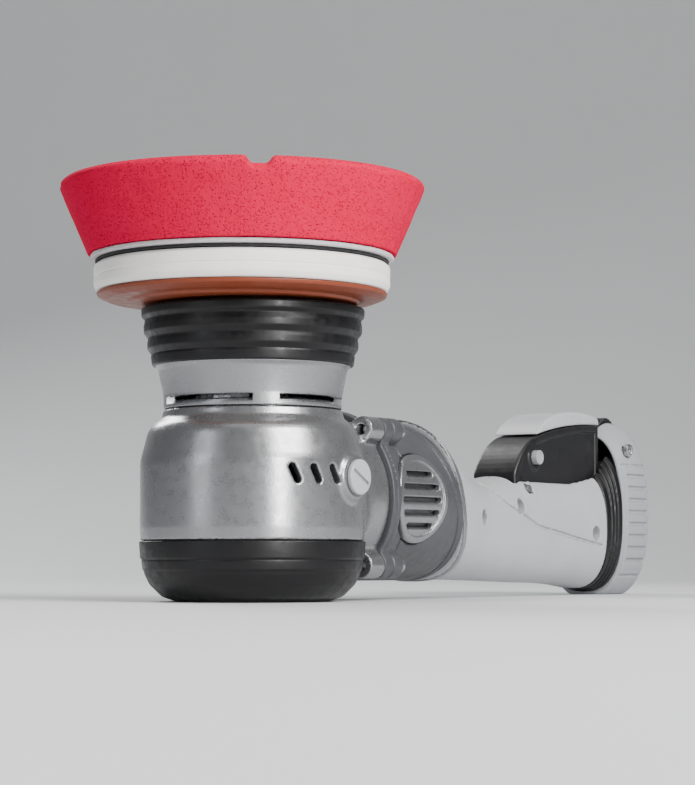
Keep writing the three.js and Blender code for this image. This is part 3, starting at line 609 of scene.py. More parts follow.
def rubber_finish(name, colour, roughness):
    f = Finish(name, colour, roughness)
    f.rounded_edges(0.3)
    f.tint(f.ramp(f.noise(7, 7, 0.72), 0.0, 0.5, (0.55, 0.80)), tuple(c * 1.4 + 0.004 for c in colour))
    f.vary_roughness(3.0, 0.12, 6)
    f.bump(f.noise(0.3, 2, 0.5), 0.04, 0.6)
    f.bump(f.noise(6, 3), 0.12, 0.35)
    f.dust(0.03)
    f.feed(f.shader, {"Specular IOR Level": 0.36})


def cast_paint_finish():
    """Silver paint over a die casting: fine flakes, a little orange peel and softly rounded edges."""
    f = Finish("silver_paint", (0.35, 0.355, 0.365), 0.29, 0.85)
    f.rounded_edges(0.5)
    flakes = f.cells(0.16)
    f.tint(f.ramp(flakes, 0.0, 0.35, (0.1, 0.6)), (0.25, 0.255, 0.27))
    f.tint(f.ramp(f.noise(12, 6, 0.7), 0.0, 0.12, (0.5, 0.8)), (0.22, 0.22, 0.23))
    f.tint(f.ramp(f.noise(1.6, 8, 0.8), 0.0, 0.5, (0.69, 0.76)), (0.13, 0.13, 0.13))
    f.vary_roughness(5, 0.05, 6)
    f.bump(f.noise(1.1, 2, 0.5), 0.05, 0.5)
    f.bump(f.noise(7, 2), 0.2, 0.3)
    f.dust(0.05)


def metal_finish(name, colour, roughness):
    """Ground or turned metal with fine tool marks and a thin film of grease."""
    f = Finish(name, colour, roughness, 1.0)
    f.rounded_edges(0.2)
    marks = f.noise(0.6, 4, 0.7, f.stretched((1.0, 1.0, 14.0)))
    f.tint(f.ramp(marks, 0.0, 0.35), tuple(c * 0.6 for c in colour))
    f.tint(f.ramp(f.noise(5, 6, 0.7), 0.0, 0.4, (0.52, 0.75)), tuple(c * 0.45 for c in colour))
    f.vary_roughness(2.5, 0.1)
    f.bump(marks, 0.02, 0.6)


def layered_finish(name, colour, roughness, metallic, pitch):
    """Thin layers stacked along the tool, as in laminations, windings and copper bars."""
    f = Finish(name, colour, roughness, metallic)
    values = {"Scale": 1 / (pitch * math.pi), "Distortion": 0.3, "Vector": f.place}
    layers = f.add("ShaderNodeTexWave", values, bands_direction="X").outputs["Fac"]
    f.tint(f.ramp(layers, 0.0, 0.7, (0.1, 0.9)), tuple(c * 0.35 for c in colour))
    f.tint(f.ramp(f.noise(3, 5), 0.0, 0.4), tuple(c * 0.6 for c in colour))
    f.vary_roughness(2, 0.1)
    f.bump(layers, 0.15, 0.7)


def make_finishes():
    foam_finish()
    loop_finish()
    cushion_finish()
    cast_paint_finish()
    plastic_finish("hook_black", (0.012, 0.012, 0.014), 0.7, 0.6, 0.3)
    # plate_orange: a real orange, darkened towards brown as painted shade for a plate that lies in shadow
    # under the cushion.
    plastic_finish("plate_orange", (0.20, 0.032, 0.006), 0.46, 0.3, 0.03)
    plastic_finish("nylon_black", (0.006, 0.006, 0.007), 0.42, dust=0.03)
    plastic_finish("shell_grey", (0.43, 0.44, 0.46), 0.38, dust=0.06)
    plastic_finish("dark_grey", (0.055, 0.058, 0.064), 0.40, dust=0.05)
    plastic_finish("carbon", (0.02, 0.02, 0.022), 0.6, 0.5, 0.08)
    plastic_finish("board_green", (0.012, 0.10, 0.04), 0.4, 0.9, 0.05)
    rubber_finish("rubber_black", (0.004, 0.004, 0.005), 0.40)
    rubber_finish("rubber_grey", (0.31, 0.32, 0.34), 0.6)
    metal_finish("steel", (0.58, 0.58, 0.60), 0.3)
    layered_finish("lamination", (0.20, 0.21, 0.22), 0.45, 0.8, 0.7)
    layered_finish("copper", (0.72, 0.29, 0.12), 0.35, 0.9, 1.4)


def place(obj, body, slot, *nodes):
    """Hands a finished piece to the frame: its body, its material slot and the nodes it stands for."""
    obj.data.materials.clear()
    obj.data.materials.append(finishes[slot])
    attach(obj, body)
    if nodes:
        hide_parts(*nodes)
    return obj


def mould(name, field, pitch, slot, node, body="casing"):
    """Makes a field's surface within a node's box and lets it stand for the node."""
    place(surface(name, field, *in_mm(node), pitch), body, slot, node)


# ---------------------------------------------------------------- pad and backing plate
PAD_GROOVE_ANGLE = math.radians(42)
PAD_GROOVE_HALF = 4.5
PAD_GROOVE_DEPTH = 3.0
PAD_HOLE = 8.0


def pad_centre():
    low, high = in_mm("foam_pad")
    return ((low.x + high.x) / 2, (low.y + high.y) / 2)


def groove_depth(x, y):
    """How deep the two crossed grooves are at a place on the pad's face."""
    depth = 0.0
    for turn in (PAD_GROOVE_ANGLE, PAD_GROOVE_ANGLE + math.pi / 2):
        away = abs(y * math.cos(turn) - x * math.sin(turn))
        wall = soft_step(PAD_GROOVE_HALF - 1.6, PAD_GROOVE_HALF + 1.4, away)
        depth = max(depth, PAD_GROOVE_DEPTH * (1 - wall))
    return depth


def foam_pad():
    low, high, face_r = round_size("foam_pad")
    base_r = face_r - 12
    flank_slope = 0.4
    corners = [
        (PAD_HOLE, low, 0.8), (base_r, low, 0.8), (face_r - 2.4, high - 8, 24), (face_r, high - 2, 3.2),
        (face_r - 2.5, high, 2.4), (PAD_HOLE, high, 2.0),
    ]
    outline = filleted(corners, closed=True, step=math.radians(8))
    fine = []
    for here, following in zip(outline, outline[1:] + outline[:1]):
        steps = max(1, math.ceil((following - here).length / 1.5))
        fine.extend(here.lerp(following, k / steps) for k in range(steps))
    count = 400
    centre = pad_centre()
    points = []
    for radius, height in fine:
        for k in range(count):
            angle = 2 * math.pi * k / count
            x, y = radius * math.cos(angle), radius * math.sin(angle)
            sunk = groove_depth(x, y) * soft_step(high - 9, high - 2.5, height)
            drawn_in = flank_slope * sunk * soft_step(face_r - 6, face_r - 1, radius)
            z = height - sunk
            lump = noise.noise(Vector((x, y, z)) / 11) * 0.5 + noise.noise(Vector((x, y, z)) / 3.1) * 0.16
            side = soft_step(PAD_HOLE + 2, PAD_HOLE + 8, radius) * (1 - soft_step(face_r - 4, face_r, radius))
            inside = 1 - soft_step(face_r - 3, face_r, radius)
            reach = 1 - (0.35 * abs(lump) + 0.4 * lump * inside + drawn_in) / radius
            points.append((centre[0] + x * reach, centre[1] + y * reach, min(z + 0.22 * lump * side, high)))
    pad = make_piece("pad_foam", points, ring_faces(len(fine), count), 60)
    place(pad, "backing_plate", "foam_red", "foam_pad")


def loop_backing():
    """The pad's loop cloth, cut a little unevenly and fluffy along its edge."""
    low, high, radius = round_size("pad_loop_backing")
    corners = [(PAD_HOLE, low, 0.3), (radius, low, 0.7), (radius, high, 0.7), (PAD_HOLE, high, 0.3)]
    outline = filleted(corners, closed=True)
    obj = turned("pad_loop", outline, pad_centre(), 360, closed=True)
    middle = Vector((*pad_centre(), 0)) * MM
    for vertex in obj.data.vertices:
        away = vertex.co - middle
        away.z = 0
        if away.length > (radius - 2) * MM:
            fray = noise.noise(vertex.co / (1.3 * MM)) * 0.35 + noise.noise(vertex.co / (9 * MM)) * 0.3
            vertex.co += away.normalized() * fray * MM
    place(obj, "backing_plate", "loop_white", "pad_loop_backing")


def backing_plate():
    centre = pad_centre()
    low, high, radius = round_size("hook_disc")
    bolt_hole = 9.0
    outline = filleted([(bolt_hole, low, 0), (radius, low, 0.3), (radius, high, 0.3), (bolt_hole, high, 0)],
                       closed=True)
    place(turned("hook_face", outline, centre, closed=True), "backing_plate", "hook_black", "hook_disc")

    low, high, radius = round_size("plate_cushion")
    middle = (low + high) / 2
    outline = filleted([
        (bolt_hole, low, 0), (radius - 1.2, low, 1.5), (radius, low + 2.4, 2.0),
        (radius, middle - 0.5, 0.3), (radius - 0.35, middle, 0.2), (radius, middle + 0.5, 0.3),
        (radius, high - 1.4, 1.4), (radius - 1.6, high, 1.0), (bolt_hole, high, 0),
    ], closed=True)
    cushion = turned("cushion", outline, centre, 200, closed=True)
    place(cushion, "backing_plate", "cushion_white", "plate_cushion")

    low, high, radius = round_size("plate_body")
    hub = round_size("plate_hub")[2]
    outline = filleted([
        (hub + 0.3, low, 0), (radius - 12.5, low, 0.8), (radius - 11.5, low + 1.2, 0.8),
        (radius - 4.5, high - 3.2, 2.5), (radius - 0.6, high - 1.6, 0.8), (radius, high, 0.4),
        (hub + 0.3, high, 0),
    ], closed=True)
    plate = turned("plate_moulding", outline, centre, 200, closed=True)
    place(plate, "backing_plate", "plate_orange", "plate_body")


# ---------------------------------------------------------------- head
def shroud():
    """The ribbed rubber skirt between the nose and the plate."""
    low, high, rim = round_size("shroud")
    foot, inner_foot = 41.4, 39.5
    outside = [(foot, low, 0.8), (foot + 0.5, low + 4.0, 1.5)]
    ribs = 2
    pitch = 6.6
    for k in range(ribs):
        bottom = low + 4.6 + k * pitch
        reach = foot + 1.1 + 1.5 * k
        outside += [(reach - 0.9, bottom, 1.2), (reach + 0.8, bottom + 0.35 * pitch, 1.6),
                    (reach + 0.9, bottom + 0.75 * pitch, 1.4)]
    outside += [(rim - 1.6, high - 5.0, 1.2), (rim - 0.2, high - 3.6, 1.4), (rim, high, 1.1)]
    inside = [(rim - 2.4, high, 0.8), (inner_foot + 1.0, low + 4.4, 1.5), (inner_foot, low, 0.4)]
    outline = filleted(outside + inside, closed=True)
    place(turned("shroud_skirt", outline, closed=True, count=180), "casing", "rubber_black", "shroud")


def nose():
    """The bearing plate, with four long air outlets and a bridge between each two."""
    low, high, top_r = round_size("bearing_plate")
    neck_r = top_r - 3.5
    outlet_low, outlet_high = 79.9, 82.9
    outline = filleted([
        (15.0, 79.5, 0), (15.0, 77.4, 0), (17.8, 77.4, 0), (17.8, low, 0), (22.0, low, 0.5),
        (22.0, 73.0, 0.5), (32.0, 73.0, 0.5), (32.0, 78.3, 0), (neck_r, 78.3, 0.5),
        (neck_r + 0.15, 83.5, 6), (top_r - 1.2, high - 5.5, 2.5), (top_r, high - 4.2, 0.6),
        (top_r, high, 0.5), (top_r - 3.0, high, 0.5), (33.5, 84.5, 1.0), (32.5, 79.5, 0.5),
    ], closed=True)
    body = turned("nose_casting", outline, closed=True, count=180)
    cutters = []
    half = math.radians(36.5)
    for quarter in range(4):
        middle = quarter * math.pi / 2
        steps = 16
        angles = [middle - half + 2 * half * k / steps for k in range(steps + 1)]
        flat = [(44 * math.cos(a), 44 * math.sin(a)) for a in angles]
        flat += [(32.9 * math.cos(a), 32.9 * math.sin(a)) for a in reversed(angles)]
        cutters.append(lofted("outlet", [[(x, y, z) for x, y in flat] for z in (outlet_low, outlet_high)]))
    place(cut(body, cutters), "casing", "silver_paint", "bearing_plate")


MOTOR_Z = 43.0
VENT_X = 74.0  # the middle of the covers on the motor housing
SIDE_BOSS = (6.0, 50.0)  # x and z of the side handle's seats
EAR_RADIUS = 5.5  # the screw ears round the motor's front
EAR_HOLE = 2.3
THROUGH = 60  # far enough to pass right through the tool


def ear_places():
    side = 40 * math.sqrt(0.5)
    return [(side, side), (side, -side), (-side, side), (-side, -side)]


def ears(x, y, z, radius, low, high, edge=0.5):
    bars = [rod(y - across, z - MOTOR_Z - up, x, radius, low, high, edge) for across, up in ear_places()]
    return np.minimum.reduce(bars)


def slanted_slot(x, y, z, side, degrees, lean, half_length, half_width):
    """A slot with round ends, cut towards the spindle's axis at an angle round it."""
    angle = math.radians(side * degrees)
    out = x * math.cos(angle) + y * math.sin(angle)
    across = -x * math.sin(angle) + y * math.cos(angle)
    up = z - SIDE_BOSS[1] - 1
    along = up * math.cos(lean) + across * side * math.sin(lean)
    beside = -up * math.sin(lean) + across * side * math.cos(lean)
    reach = np.hypot(beside, np.maximum(np.abs(along) - half_length + half_width, 0)) - half_width
    return np.maximum(reach, 30 - out)


def head():
    """The gear head: one casting with the neck, the side handle's bosses and the screw ears."""
    low, high = in_mm("gear_housing")
    outside = Profile([
        (-9, low.z, 0), (29, low.z, 4), (36, 7.5, 8), (41, 13, 10), (43.8, 24.6, 0.4), (45.7, 24.9, 0.6),
        (46, 30, 4), (46, 57, 16), (42.5, 70.5, 10), (37.4, 74.5, 3), (36.5, 77.9, 0.4), (-9, 77.9, 0),
    ])
    cavity = Profile([
        (-9, 10, 0), (27, 10, 4), (37, 16, 8), (41, 28, 8), (41, 57, 12), (37, 67, 8), (32.5, 72, 1.5),
        (32.5, 90, 0), (-9, 90, 0),
    ])
    bearing_boss = Profile([(13.3, 9, 0), (17.5, 9, 0), (17.5, 26.8, 0.6), (13.3, 26.8, 0.6)])
    nose_seat = Profile([(-9, 78, 0), (41, 78, 0), (41, 120, 0), (-9, 120, 0)])

    def shape(x, y, z):
        out = np.hypot(x, y)
        body = outside(out, z)
        neck = rod(y, z - MOTOR_Z, x, 36, -40, high.x, 0.8)
        neck = soft_max(neck, -x, 0.5)
        body = soft_min(body, neck, 0.8 + 6 * np.clip((z - 27) / 8, 0, 1))
        boss = cross_rod(x, y, z, SIDE_BOSS, 9, high.y, 1.2)
        body = soft_min(body, boss, 3.0)
        body = soft_min(body, ears(x, y, z, EAR_RADIUS, 37, high.x, 0.8), 3.5)
        body = np.maximum(body, x - high.x)
        body = carve(body, cavity(out, z), 0.8)
        body = carve(body, rod(y, z - MOTOR_Z, x, 30, 0, 60), 0.8)
        body = soft_min(body, bearing_boss(out, z), 0.8)
        body = carve(body, cross_rod(x, y, z, SIDE_BOSS, 4.3, THROUGH), 0.6)
        body = carve(body, ears(x, y, z, EAR_HOLE, 33, 60), 0.3)
        body = carve(body, nose_seat(out, z), 0.3)
        for side in (-1, 1):
            for degrees in (98, 110, 122):
                body = carve(body, slanted_slot(x, y, z, side, degrees, 0.45, 4.2, 1.5), 0.7)
        return body

    mould("head_casting", shape, 0.85, "silver_paint", "gear_housing")


def palm_cap():
    low, high = in_mm("head_cap")
    rim = (high.y - low.y) / 2
    outside = [
        (0, low.z, 0), (31, low.z, 2.5), (37, low.z + 2, 5), (42, 7, 6), (44.0, 11.2, 2), (44.3, 12.4, 0.3),
        (44.9, 13.2, 0.3), (45.3, 16.4, 1), (45.2, 17.0, 0.3), (45.9, 17.8, 0.3), (rim, high.z, 0.5),
    ]
    inside = [(44.4, high.z, 0.3), (44.4, 24.3, 0), (41.4, 12.8, 0), (36.3, 7.2, 0), (29.2, 4.7, 0),
              (0, 4.7, 0)]
    cap = turned("palm_cap", filleted(outside + inside), count=180)
    neck = lay_along_x(bar(36.3, 10, 80, 120), 0, MOTOR_Z)
    place(cut(cap, [neck]), "casing", "rubber_black", "head_cap")


def socket_screw(name, radius, shank, tip, low, high, recess=0.62, depth=2.0, lobed=False):
    """A screw with a six-sided or six-lobed socket, made round the upright axis with its head upwards."""
    count = 60

    def hexagon(angle):
        return 0.92 / math.cos((angle + math.pi / 6) % (math.pi / 3) - math.pi / 6)

    def lobes(angle):
        return 1 + 0.13 * math.cos(6 * angle)

    socket_r = radius * recess
    outside = [(shank - 0.4, tip), (shank, tip + 0.6), (shank, low), (radius - 0.1, low), (radius, low + 0.1),
               (radius, high - 0.55), (radius - 0.15, high - 0.2), (radius - 0.5, high)]
    socket = [(socket_r + 0.2, high), (socket_r, high - 0.2), (socket_r, high - depth)]
    rings = [round_ring(reach, height, count) for reach, height in outside]
    shape = lobes if lobed else hexagon
    rings += [round_ring(reach, height, count, wave=shape) for reach, height in socket]
    return lofted(name, [[(0, 0, tip)], *rings, [(0, 0, high - depth - 0.5)]])


def side_plugs():
    for name, side in SIDES:
        low, high = in_mm(f"side_handle_plug_{name}")
        outer = high.y if side > 0 else -low.y
        outline = filleted([(0, 40, 0), (4.0, 40, 0.3), (4.0, 47.8, 0), (7.2, 47.8, 0.3), (7.2, outer, 0.7),
                            (0, outer, 0)])
        plug = turned(f"plug_{name}", outline, count=72)
        lay_along_y(plug, *SIDE_BOSS, side)
        ends = sorted((side * (outer - 1.1), side * (outer + 2)))
        slot = block((-6.0, ends[0], -0.8), (6.0, ends[1], 0.8))
        seat = Vector((SIDE_BOSS[0], 0, SIDE_BOSS[1])) * MM
        slot.data.transform(Matrix.Translation(seat) @ Matrix.Rotation(0.5, 4, "Y"))
        place(cut(plug, [slot]), "casing", "shell_grey", f"side_handle_plug_{name}")


# ---------------------------------------------------------------- motor
def motor_flange():
    low, high = in_mm("motor_flange")
    start, end = 47.8, high.x
    section = Profile([
        (6, low.x, 0), (29.5, low.x, 0.4), (29.5, start, 0), (38, start, 0.6), (38, start + 2.4, 0.3),
        (37.5, start + 2.7, 0.2), (37.5, start + 3.3, 0.2), (38, start + 3.6, 0.3), (38, end, 0.6),
        (13, end, 0), (13, 43, 0), (6, 43, 0),
    ])

    def shape(x, y, z):
        out = np.hypot(y, z - MOTOR_Z)
        body = section(out, x)
        lugs = np.maximum(ears(x, y, z, EAR_RADIUS, start, end, 0.8), 30 - out)
        body = soft_min(body, lugs, 3.0)
        body = np.maximum(body, np.maximum(x - end, np.where(out > 29.8, start - x, -9)))
        return carve(body, ears(x, y, z, EAR_HOLE, 20, 80), 0.3)

    obj = surface("flange_casting", shape, (low.x, -38.5, MOTOR_Z - 38.5), (end, 38.5, MOTOR_Z + 38.5), 0.8)
    place(obj, "casing", "dark_grey", "motor_flange")


def behind_seam(x, z, offset=0.0):
    """Above zero behind the slanted joint between the motor housing and the handle."""
    top, bottom = (96, 78), (118, 8)
    along = (bottom[0] - top[0], bottom[1] - top[1])
    length = math.hypot(*along)
    return ((x - top[0]) * -along[1] + (z - top[1]) * along[0]) / length - offset


def motor_housing():
    low = in_mm("motor_housing")[0]

    def shape(x, y, z):
        out = np.hypot(y, z - MOTOR_Z)
        body = soft_max(out - 35, low.x - x, 0.8)
        body = soft_min(body, ears(x, y, z, EAR_RADIUS, low.x, 62, 1.5), 4.0)
        body = np.maximum(body, low.x - x)
        body = carve(body, out - 32.4, 0.5)
        body = soft_max(body, behind_seam(x, z, -0.3), 0.7)
        # A shallow groove follows the flange, and one follows the slanted joint.
        body = carve(body, np.maximum(slab(x, low.x + 9.6, low.x + 10.6), 34.3 - out), 0.4)
        body = carve(body, np.maximum(slab(behind_seam(x, z, -0.3), -5.2, -4.3), 34.3 - out), 0.4)
        body = carve(body, cross_rod(x, y, z, (VENT_X, MOTOR_Z), 19.25, THROUGH), 0.6)
        return carve(body, ears(x, y, z, EAR_HOLE, 20, 90), 0.3)

    mould("motor_case", shape, 0.85, "dark_grey", "motor_housing")


def vent_covers():
    """Round covers on the housing's curve, with a raised rim and five leaning louvres."""
    for name, side in SIDES:
        def shape(x, y, z):
            out = np.hypot(y, z - MOTOR_Z)
            dx, dz = x - VENT_X, z - MOTOR_Z
            body = soft_max(out - 36.4, 32.7 - out, 0.5)
            body = soft_max(body, np.hypot(dx, dz) - 19, 0.8)
            body = np.maximum(body, 15 - side * y)
            dish = np.maximum(np.hypot(dx, dz) - 16.2, 35.5 - out)
            body = carve(body, dish, 0.6)
            lean = dz + 0.45 * (out - 34)
            for louvre in (-11, -5.5, 0, 5.5, 11):
                half = math.sqrt(15 ** 2 - louvre ** 2) - 1.2
                reach = np.hypot(np.maximum(np.abs(dx) - half, 0), lean - louvre) - 1.25
                body = carve(body, reach, 0.5)
            return body

        mould(f"vent_cover_{name}_moulding", shape, 0.5, "silver_paint", f"vent_cover_{name}")


def flange_screws():
    for i, (across, up) in enumerate(ear_places()):
        low, high = in_mm(f"flange_screw_{i + 1}")
        screw = socket_screw(f"flange_screw_{i + 1}_head", 3.6, 1.9, low.x, 62.3, high.x, 0.62, 2.2)
        place(lay_along_x(screw, across, MOTOR_Z + up), "casing", "steel", f"flange_screw_{i + 1}")


# ---------------------------------------------------------------- handle
HANDLE = [
    (84, 7.4, 78.6, 35.6), (98, 7.4, 78.2, 35.4), (112, 7.6, 71, 33), (128, 8, 63, 29), (146, 8, 57, 25),
    (168, 7.5, 54.5, 22), (205, 6.5, 58.5, 19.5), (240, 5.5, 58.5, 19.5), (266, 3, 62, 20.5),
]
COLLAR = [(266.3, 3, 62, 20.5), (279.7, 1.2, 74, 22)]
TAIL = [
    (280, -2, 80, 22), (286, -2.5, 85, 23), (296, -2.5, 87, 23.5), (305, -1, 84, 22.5), (310, 4, 77, 19.5),
    (312, 9, 68, 15.5),
]
SHELL_SCREWS = [(140, 36), (184, 42), (256, 30)]
PIVOT = (197, 50)
SLOT_HALF_WIDTH = 12.3


def trigger_slot(x, y, z):
    return soft_max(soft_max(np.abs(y) - SLOT_HALF_WIDTH, 188 - x, 1.0), 46 - z, 1.0)


def line_distance(x, z, points):
    """Distance from a bent line in the upright plane of the handle."""
    nearest = np.full(np.shape(x), 1e9)
    for (ax, az), (bx, bz) in zip(points, points[1:]):
        dx, dz = bx - ax, bz - az
        along = np.clip(((x - ax) * dx + (z - az) * dz) / (dx * dx + dz * dz), 0, 1)
        nearest = np.minimum(nearest, np.hypot(x - ax - along * dx, z - az - along * dz))
    return nearest


def handle_shells():
    section = Sections(HANDLE)
    hollow = Sections([(70, *HANDLE[0][1:])] + HANDLE + [(290, 3, 62, 20.5)])
    grip_line = [(137, 66), (146, 57), (172, 42), (200, 33), (262, 24)]

    def shape(x, y, z):
        skin = section(x, y, z)
        body = soft_max(soft_max(skin, -behind_seam(x, z), 0.7), x - 266, 0.7)
        body = carve(body, hollow(x, y, z, 3.0), 0.8)
        bosses = [off_axis(x, z, at) - 4.8 for at in SHELL_SCREWS]
        pivot = np.maximum(off_axis(x, z, PIVOT) - 6, SLOT_HALF_WIDTH - np.abs(y))
        body = soft_min(body, np.maximum(np.minimum.reduce([*bosses, pivot]), skin), 0.8)
        body = carve(body, trigger_slot(x, y, z), 0.9)
        # The joint line between the hard shell and the softer lower grip.
        body = carve(body, np.maximum(line_distance(x, z, grip_line) - 0.65, -skin - 0.9), 0.5)
        for at in SHELL_SCREWS:
            away = off_axis(x, z, at)
            body = carve(body, np.maximum(away - 3.5, y + 9.0), 0.6)
            body = carve(body, np.maximum(away - 2.1, y - 12), 0.3)
        return carve(body, np.maximum(off_axis(x, z, PIVOT) - 2.9, np.abs(y) - 16.6), 0.3)

    for name, side in SIDES:
        def half(x, y, z):
            return soft_max(shape(x, y, z), 0.12 - side * y, 0.35)

        mould(f"shell_{name}_moulding", half, 0.9, "shell_grey", f"handle_shell_{name}")


def strake():
    """A thin silver trim on the front lip of the shells, wider at the top than at the bottom."""
    section = Sections(HANDLE)

    def shape(x, y, z):
        skin = section(x, y, z)
        body = soft_max(skin - 0.45, -skin - 1.2, 0.4)
        width = 3.4 + 2.4 * np.clip((z - 20) / 50, 0, 1)
        seam = behind_seam(x, z)
        return soft_max(body, np.abs(seam - 0.15 - width / 2) - width / 2, 0.5)

    low, high = in_mm("motor_housing")
    obj = surface("seam_strake", shape, (88, low.y - 1, low.z - 1), (128, high.y + 1, high.z + 1), 0.6)
    place(obj, "casing", "silver_paint")


def collar():
    low, high = in_mm("grip_collar")
    section = Sections(COLLAR)
    inner = Sections([(260, 3, 62, 20.5), (290, 1.2, 74, 22)])

    def shape(x, y, z):
        skin = section(x, y, z)
        body = soft_max(skin, slab(x, low.x, high.x), 0.8)
        for groove in (270.2, 273.0, 275.8):
            body = carve(body, np.maximum(np.abs(x - groove) - 0.5, -skin - 0.7), 0.5)
        body = carve(body, inner(x, y, z, 3.0), 0.5)
        return carve(body, trigger_slot(x, y, z), 0.8)

    mould("collar_moulding", shape, 0.7, "rubber_black", "grip_collar")


TAIL_SCREW = (288, 72)
DIAL = (296, 78.5)
GLAND_Z = 38.0


def tail():
    """The tail bumper: a soft moulding with a ribbed column up each side."""
    low, high = in_mm("tail_bumper")
    section = Sections(TAIL)
    inner = Sections([(276, 1, 80, 22), (286, 1, 85, 23), (296, 1, 87, 23.5), (305, 1, 84, 22.5),
                      (308.5, 9, 75, 18)])

    def shape(x, y, z):
        skin = section(x, y, z)
        body = soft_max(skin, slab(x, low.x, high.x), 1.0)
        ribs = np.abs((z - 14) % 6.0 - 3.0) - 0.9
        column = np.maximum(slab(x, 285, 304), slab(z, 12.5, 61.5))
        body = carve(body, np.maximum.reduce([ribs, column, -skin - 1.0]), 0.7)
        frame_line = np.abs(np.maximum(slab(x, 282.6, 306.4), slab(z, 9.5, 64.5))) - 0.5
        body = carve(body, np.maximum.reduce([frame_line, -skin - 0.6, 12 - np.abs(y)]), 0.4)
        body = carve(body, np.maximum(inner(x, y, z, 3.0), x - 308), 0.6)
        dial_slot = np.maximum(np.abs(x - DIAL[0]) - 12, np.abs(y) - 4.9)
        body = carve(body, np.maximum(dial_slot, DIAL[1] - 13 - z), 0.9)
        body = carve(body, rod(y, z - GLAND_Z, x, 7.3, 295, 330), 0.4)
        body = carve(body, cross_rod(x, y, z, TAIL_SCREW, 2.0, 40), 0.2)
        head_room = np.maximum(off_axis(x, z, TAIL_SCREW) - 3.5, 19.4 - np.abs(y))
        body = carve(body, head_room, 0.6)
        return soft_max(body, -z, 0.6)

    mould("tail_moulding", shape, 0.7, "rubber_grey", "tail_bumper")


def curve(start, bend, end, steps=10):
    """Points (x, z, 0) of a quadratic curve, without its first one."""
    points = []
    for k in range(1, steps + 1):
        t = k / steps
        points.append(tuple((1 - t) ** 2 * a + 2 * t * (1 - t) * b + t * t * c
                            for a, b, c in zip(start, bend, end)) + (0,))
    return points


LOCK = (211, 66)
TRIGGER_REAR = 274
PLATE_NOSE = (212, 77)
PLATE_REAR_Z = 84


def trigger():
    x0, z0 = PIVOT
    nose = (PLATE_NOSE[0], PLATE_NOSE[1] - 1)
    corners = [(x0 - 5.5, z0, 0), (x0 - 5.5, z0 + 8, 2)]
    corners += curve((x0 - 5.5, z0 + 8), (x0 + 1, z0 + 21), nose)
    corners += curve(nose, (x0 + 45, z0 + 34), (TRIGGER_REAR, PLATE_REAR_Z))
    corners += [(TRIGGER_REAR, z0 + 8, 2.5), (TRIGGER_REAR - 8, z0 + 2, 3), (x0 + 20, z0, 3),
                (x0 + 5, z0 - 4, 3)]
    corners += curve((x0 + 5, z0 - 4), (x0 - 3, z0 - 6.5), (x0 - 5.5, z0))[:-1]
    outline = Profile(corners)

    def shape(x, y, z):
        side = outline(x, z)
        body = soft_max(side, np.abs(y) - 11.7, 1.6)
        # A shallow panel on each side, with a round pad for the lock button.
        panel = np.maximum(side + 3.6, 10.9 - np.abs(y))
        panel = carve(panel, off_axis(x, z, LOCK) - 6.2, 0.6)
        panel = carve(panel, off_axis(x, z, PIVOT) - 6.0, 0.6)
        body = carve(body, panel, 0.7)
        body = carve(body, cross_rod(x, y, z, LOCK, 3.7, 40), 0.5)
        return carve(body, cross_rod(x, y, z, PIVOT, 2.8, 40), 0.4)

    mould("trigger_moulding", shape, 0.7, "nylon_black", "trigger", "trigger")


def finger_plate():
    """The pale plate under the fingers, with shallow ridges across it."""
    x0, z0 = PIVOT
    gap = 0.3
    corners = [(PLATE_NOSE[0], PLATE_NOSE[1], 0)]
    corners += curve(PLATE_NOSE, (x0 + 22, z0 + 36), (x0 + 38, z0 + 38.5))
    corners += curve((x0 + 38, z0 + 38.5), (x0 + 56, z0 + 41), (TRIGGER_REAR - 4, z0 + 38.5))
    rear = (TRIGGER_REAR, PLATE_REAR_Z + gap)
    corners += curve((TRIGGER_REAR - 4, z0 + 38.5), (TRIGGER_REAR, z0 + 38), rear, 5)
    corners += curve(rear, (x0 + 45, z0 + 34 + gap), PLATE_NOSE)[:-1]
    outline = Profile(corners)

    def shape(x, y, z):
        side = outline(x, z)
        body = soft_max(side, np.abs(y) - 12, 1.3)
        ridges = np.abs((x - x0) % 6.0 - 3.0) - 1.1
        field_of_ridges = np.maximum(slab(x, x0 + 33, x0 + 69), np.abs(y) - 8.5)
        top = np.maximum(-side - 0.55, z0 + 36 - z)
        return carve(body, np.maximum.reduce([ridges, field_of_ridges, top]), 0.5)

    mould("finger_plate_moulding", shape, 0.6, "shell_grey", "trigger_finger_plate", "trigger")


def lock_button():
    low, high = in_mm("lock_button")
    outline = filleted([(0, -high.y, 0), (3.4, -high.y, 0.4), (3.4, -low.y, 0.7), (2.6, -low.y, 0.3),
                        (2.2, -low.y - 0.5, 0.4), (0, -low.y - 0.6, 0)])
    button = turned("lock_button_moulding", outline, count=64)
    place(lay_along_y(button, *LOCK, -1), "lock_button", "rubber_grey", "lock_button")


def speed_dial():
    """A thumb wheel with a fluted rim, a sunken ring in each face and a hole through its middle."""
    flutes = 30

    def shape(x, y, z):
        dx, dz = x - DIAL[0], z - DIAL[1]
        out = np.hypot(dx, dz)
        turn = np.arctan2(dz, dx)
        rim = out - 10.6 - 0.4 * np.cos(flutes * turn)
        body = soft_max(rim, np.abs(y) - 4.2, 0.9)
        body = carve(body, np.maximum(np.abs(out - 6.2) - 1.6, 3.4 - np.abs(y)), 0.5)
        return carve(body, out - 2.3, 0.3)

    mould("speed_dial_wheel", shape, 0.45, "nylon_black", "speed_dial", "speed_dial")


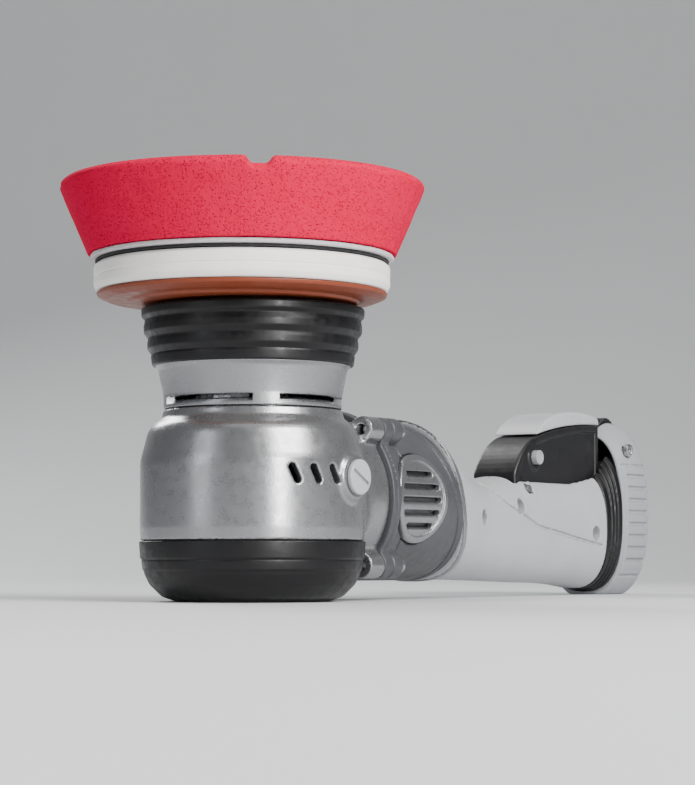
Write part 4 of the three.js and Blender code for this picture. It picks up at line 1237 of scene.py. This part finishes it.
def gland():
    low, high = in_mm("cable_gland")
    outline = filleted([
        (4.2, low.x, 0.3), (7.0, low.x, 0.3), (7.0, 312.3, 0), (10.0, 312.3, 0.5), (10.0, high.x - 0.9, 0.9),
        (8.2, high.x - 0.7, 0.5), (7.6, high.x, 0.5), (4.9, high.x, 0.6), (4.2, high.x - 0.8, 0.3),
    ], closed=True)
    obj = lay_along_x(turned("gland_moulding", outline, count=96, closed=True), 0, GLAND_Z)
    place(obj, "casing", "rubber_black", "cable_gland")


def handle_screws():
    for i, (x, z) in enumerate(SHELL_SCREWS):
        low, high = in_mm(f"shell_screw_{i + 1}")
        screw = socket_screw(f"shell_screw_{i + 1}_head", 3.1, 1.7, -high.y, 9.3, -low.y, 0.5, 1.6, lobed=True)
        place(lay_along_y(screw, x, z, -1), "casing", "steel", f"shell_screw_{i + 1}")
    for name, side in SIDES:
        screw = socket_screw(f"tail_screw_{name}_head", 3.1, 1.7, 12, 19.7, 22, 0.5, 1.5, lobed=True)
        place(lay_along_y(screw, *TAIL_SCREW, side), "casing", "steel", f"tail_screw_{name}")


# ---------------------------------------------------------------- stage
def backdrop():
    """A pale floor that turns up into a wall behind the tool."""
    outline = filleted([(-3.0, 0.0, 0), (2.2, 0.0, 1.2), (2.2, 3.5, 0)], step=math.radians(5))
    points, faces = [], []
    for reach, height in outline:
        for side in (-4, 4):
            across = towards_camera.cross(Vector((0, 0, 1))) * side
            points.append((across - towards_camera * reach + Vector((0, 0, height))) / MM)
    for i in range(len(outline) - 1):
        faces.append((2 * i, 2 * i + 1, 2 * i + 3, 2 * i + 2))
    floor = make_piece("backdrop", points, faces, 60)
    f = Finish("pale_floor", (0.66, 0.67, 0.68), 0.75)
    f.tint(f.ramp(f.noise(260, 3), 0.0, 0.3), (0.62, 0.63, 0.64))
    f.bump(f.noise(1.2, 2), 0.03, 0.3)
    floor.data.materials.append(finishes["pale_floor"])


aim_point = make_camera()
light_the_stage(aim_point)
make_finishes()
backdrop()
for make in (
    foam_pad, loop_backing, backing_plate, shroud, nose, head, palm_cap, side_plugs, motor_flange,
    motor_housing, vent_covers, flange_screws, handle_shells, strake, collar, tail, trigger, finger_plate,
    lock_button, speed_dial, gland, handle_screws,
):
    make()

# The inner pieces keep their CAD shape and take a finish.
for subpart in frame["record"]["subparts"]:
    node = frame["nodes"][subpart["node"]]
    if not node.hide_render:
        for material_slot in node.material_slots:
            material_slot.material = finishes[subpart["material_slot"]]
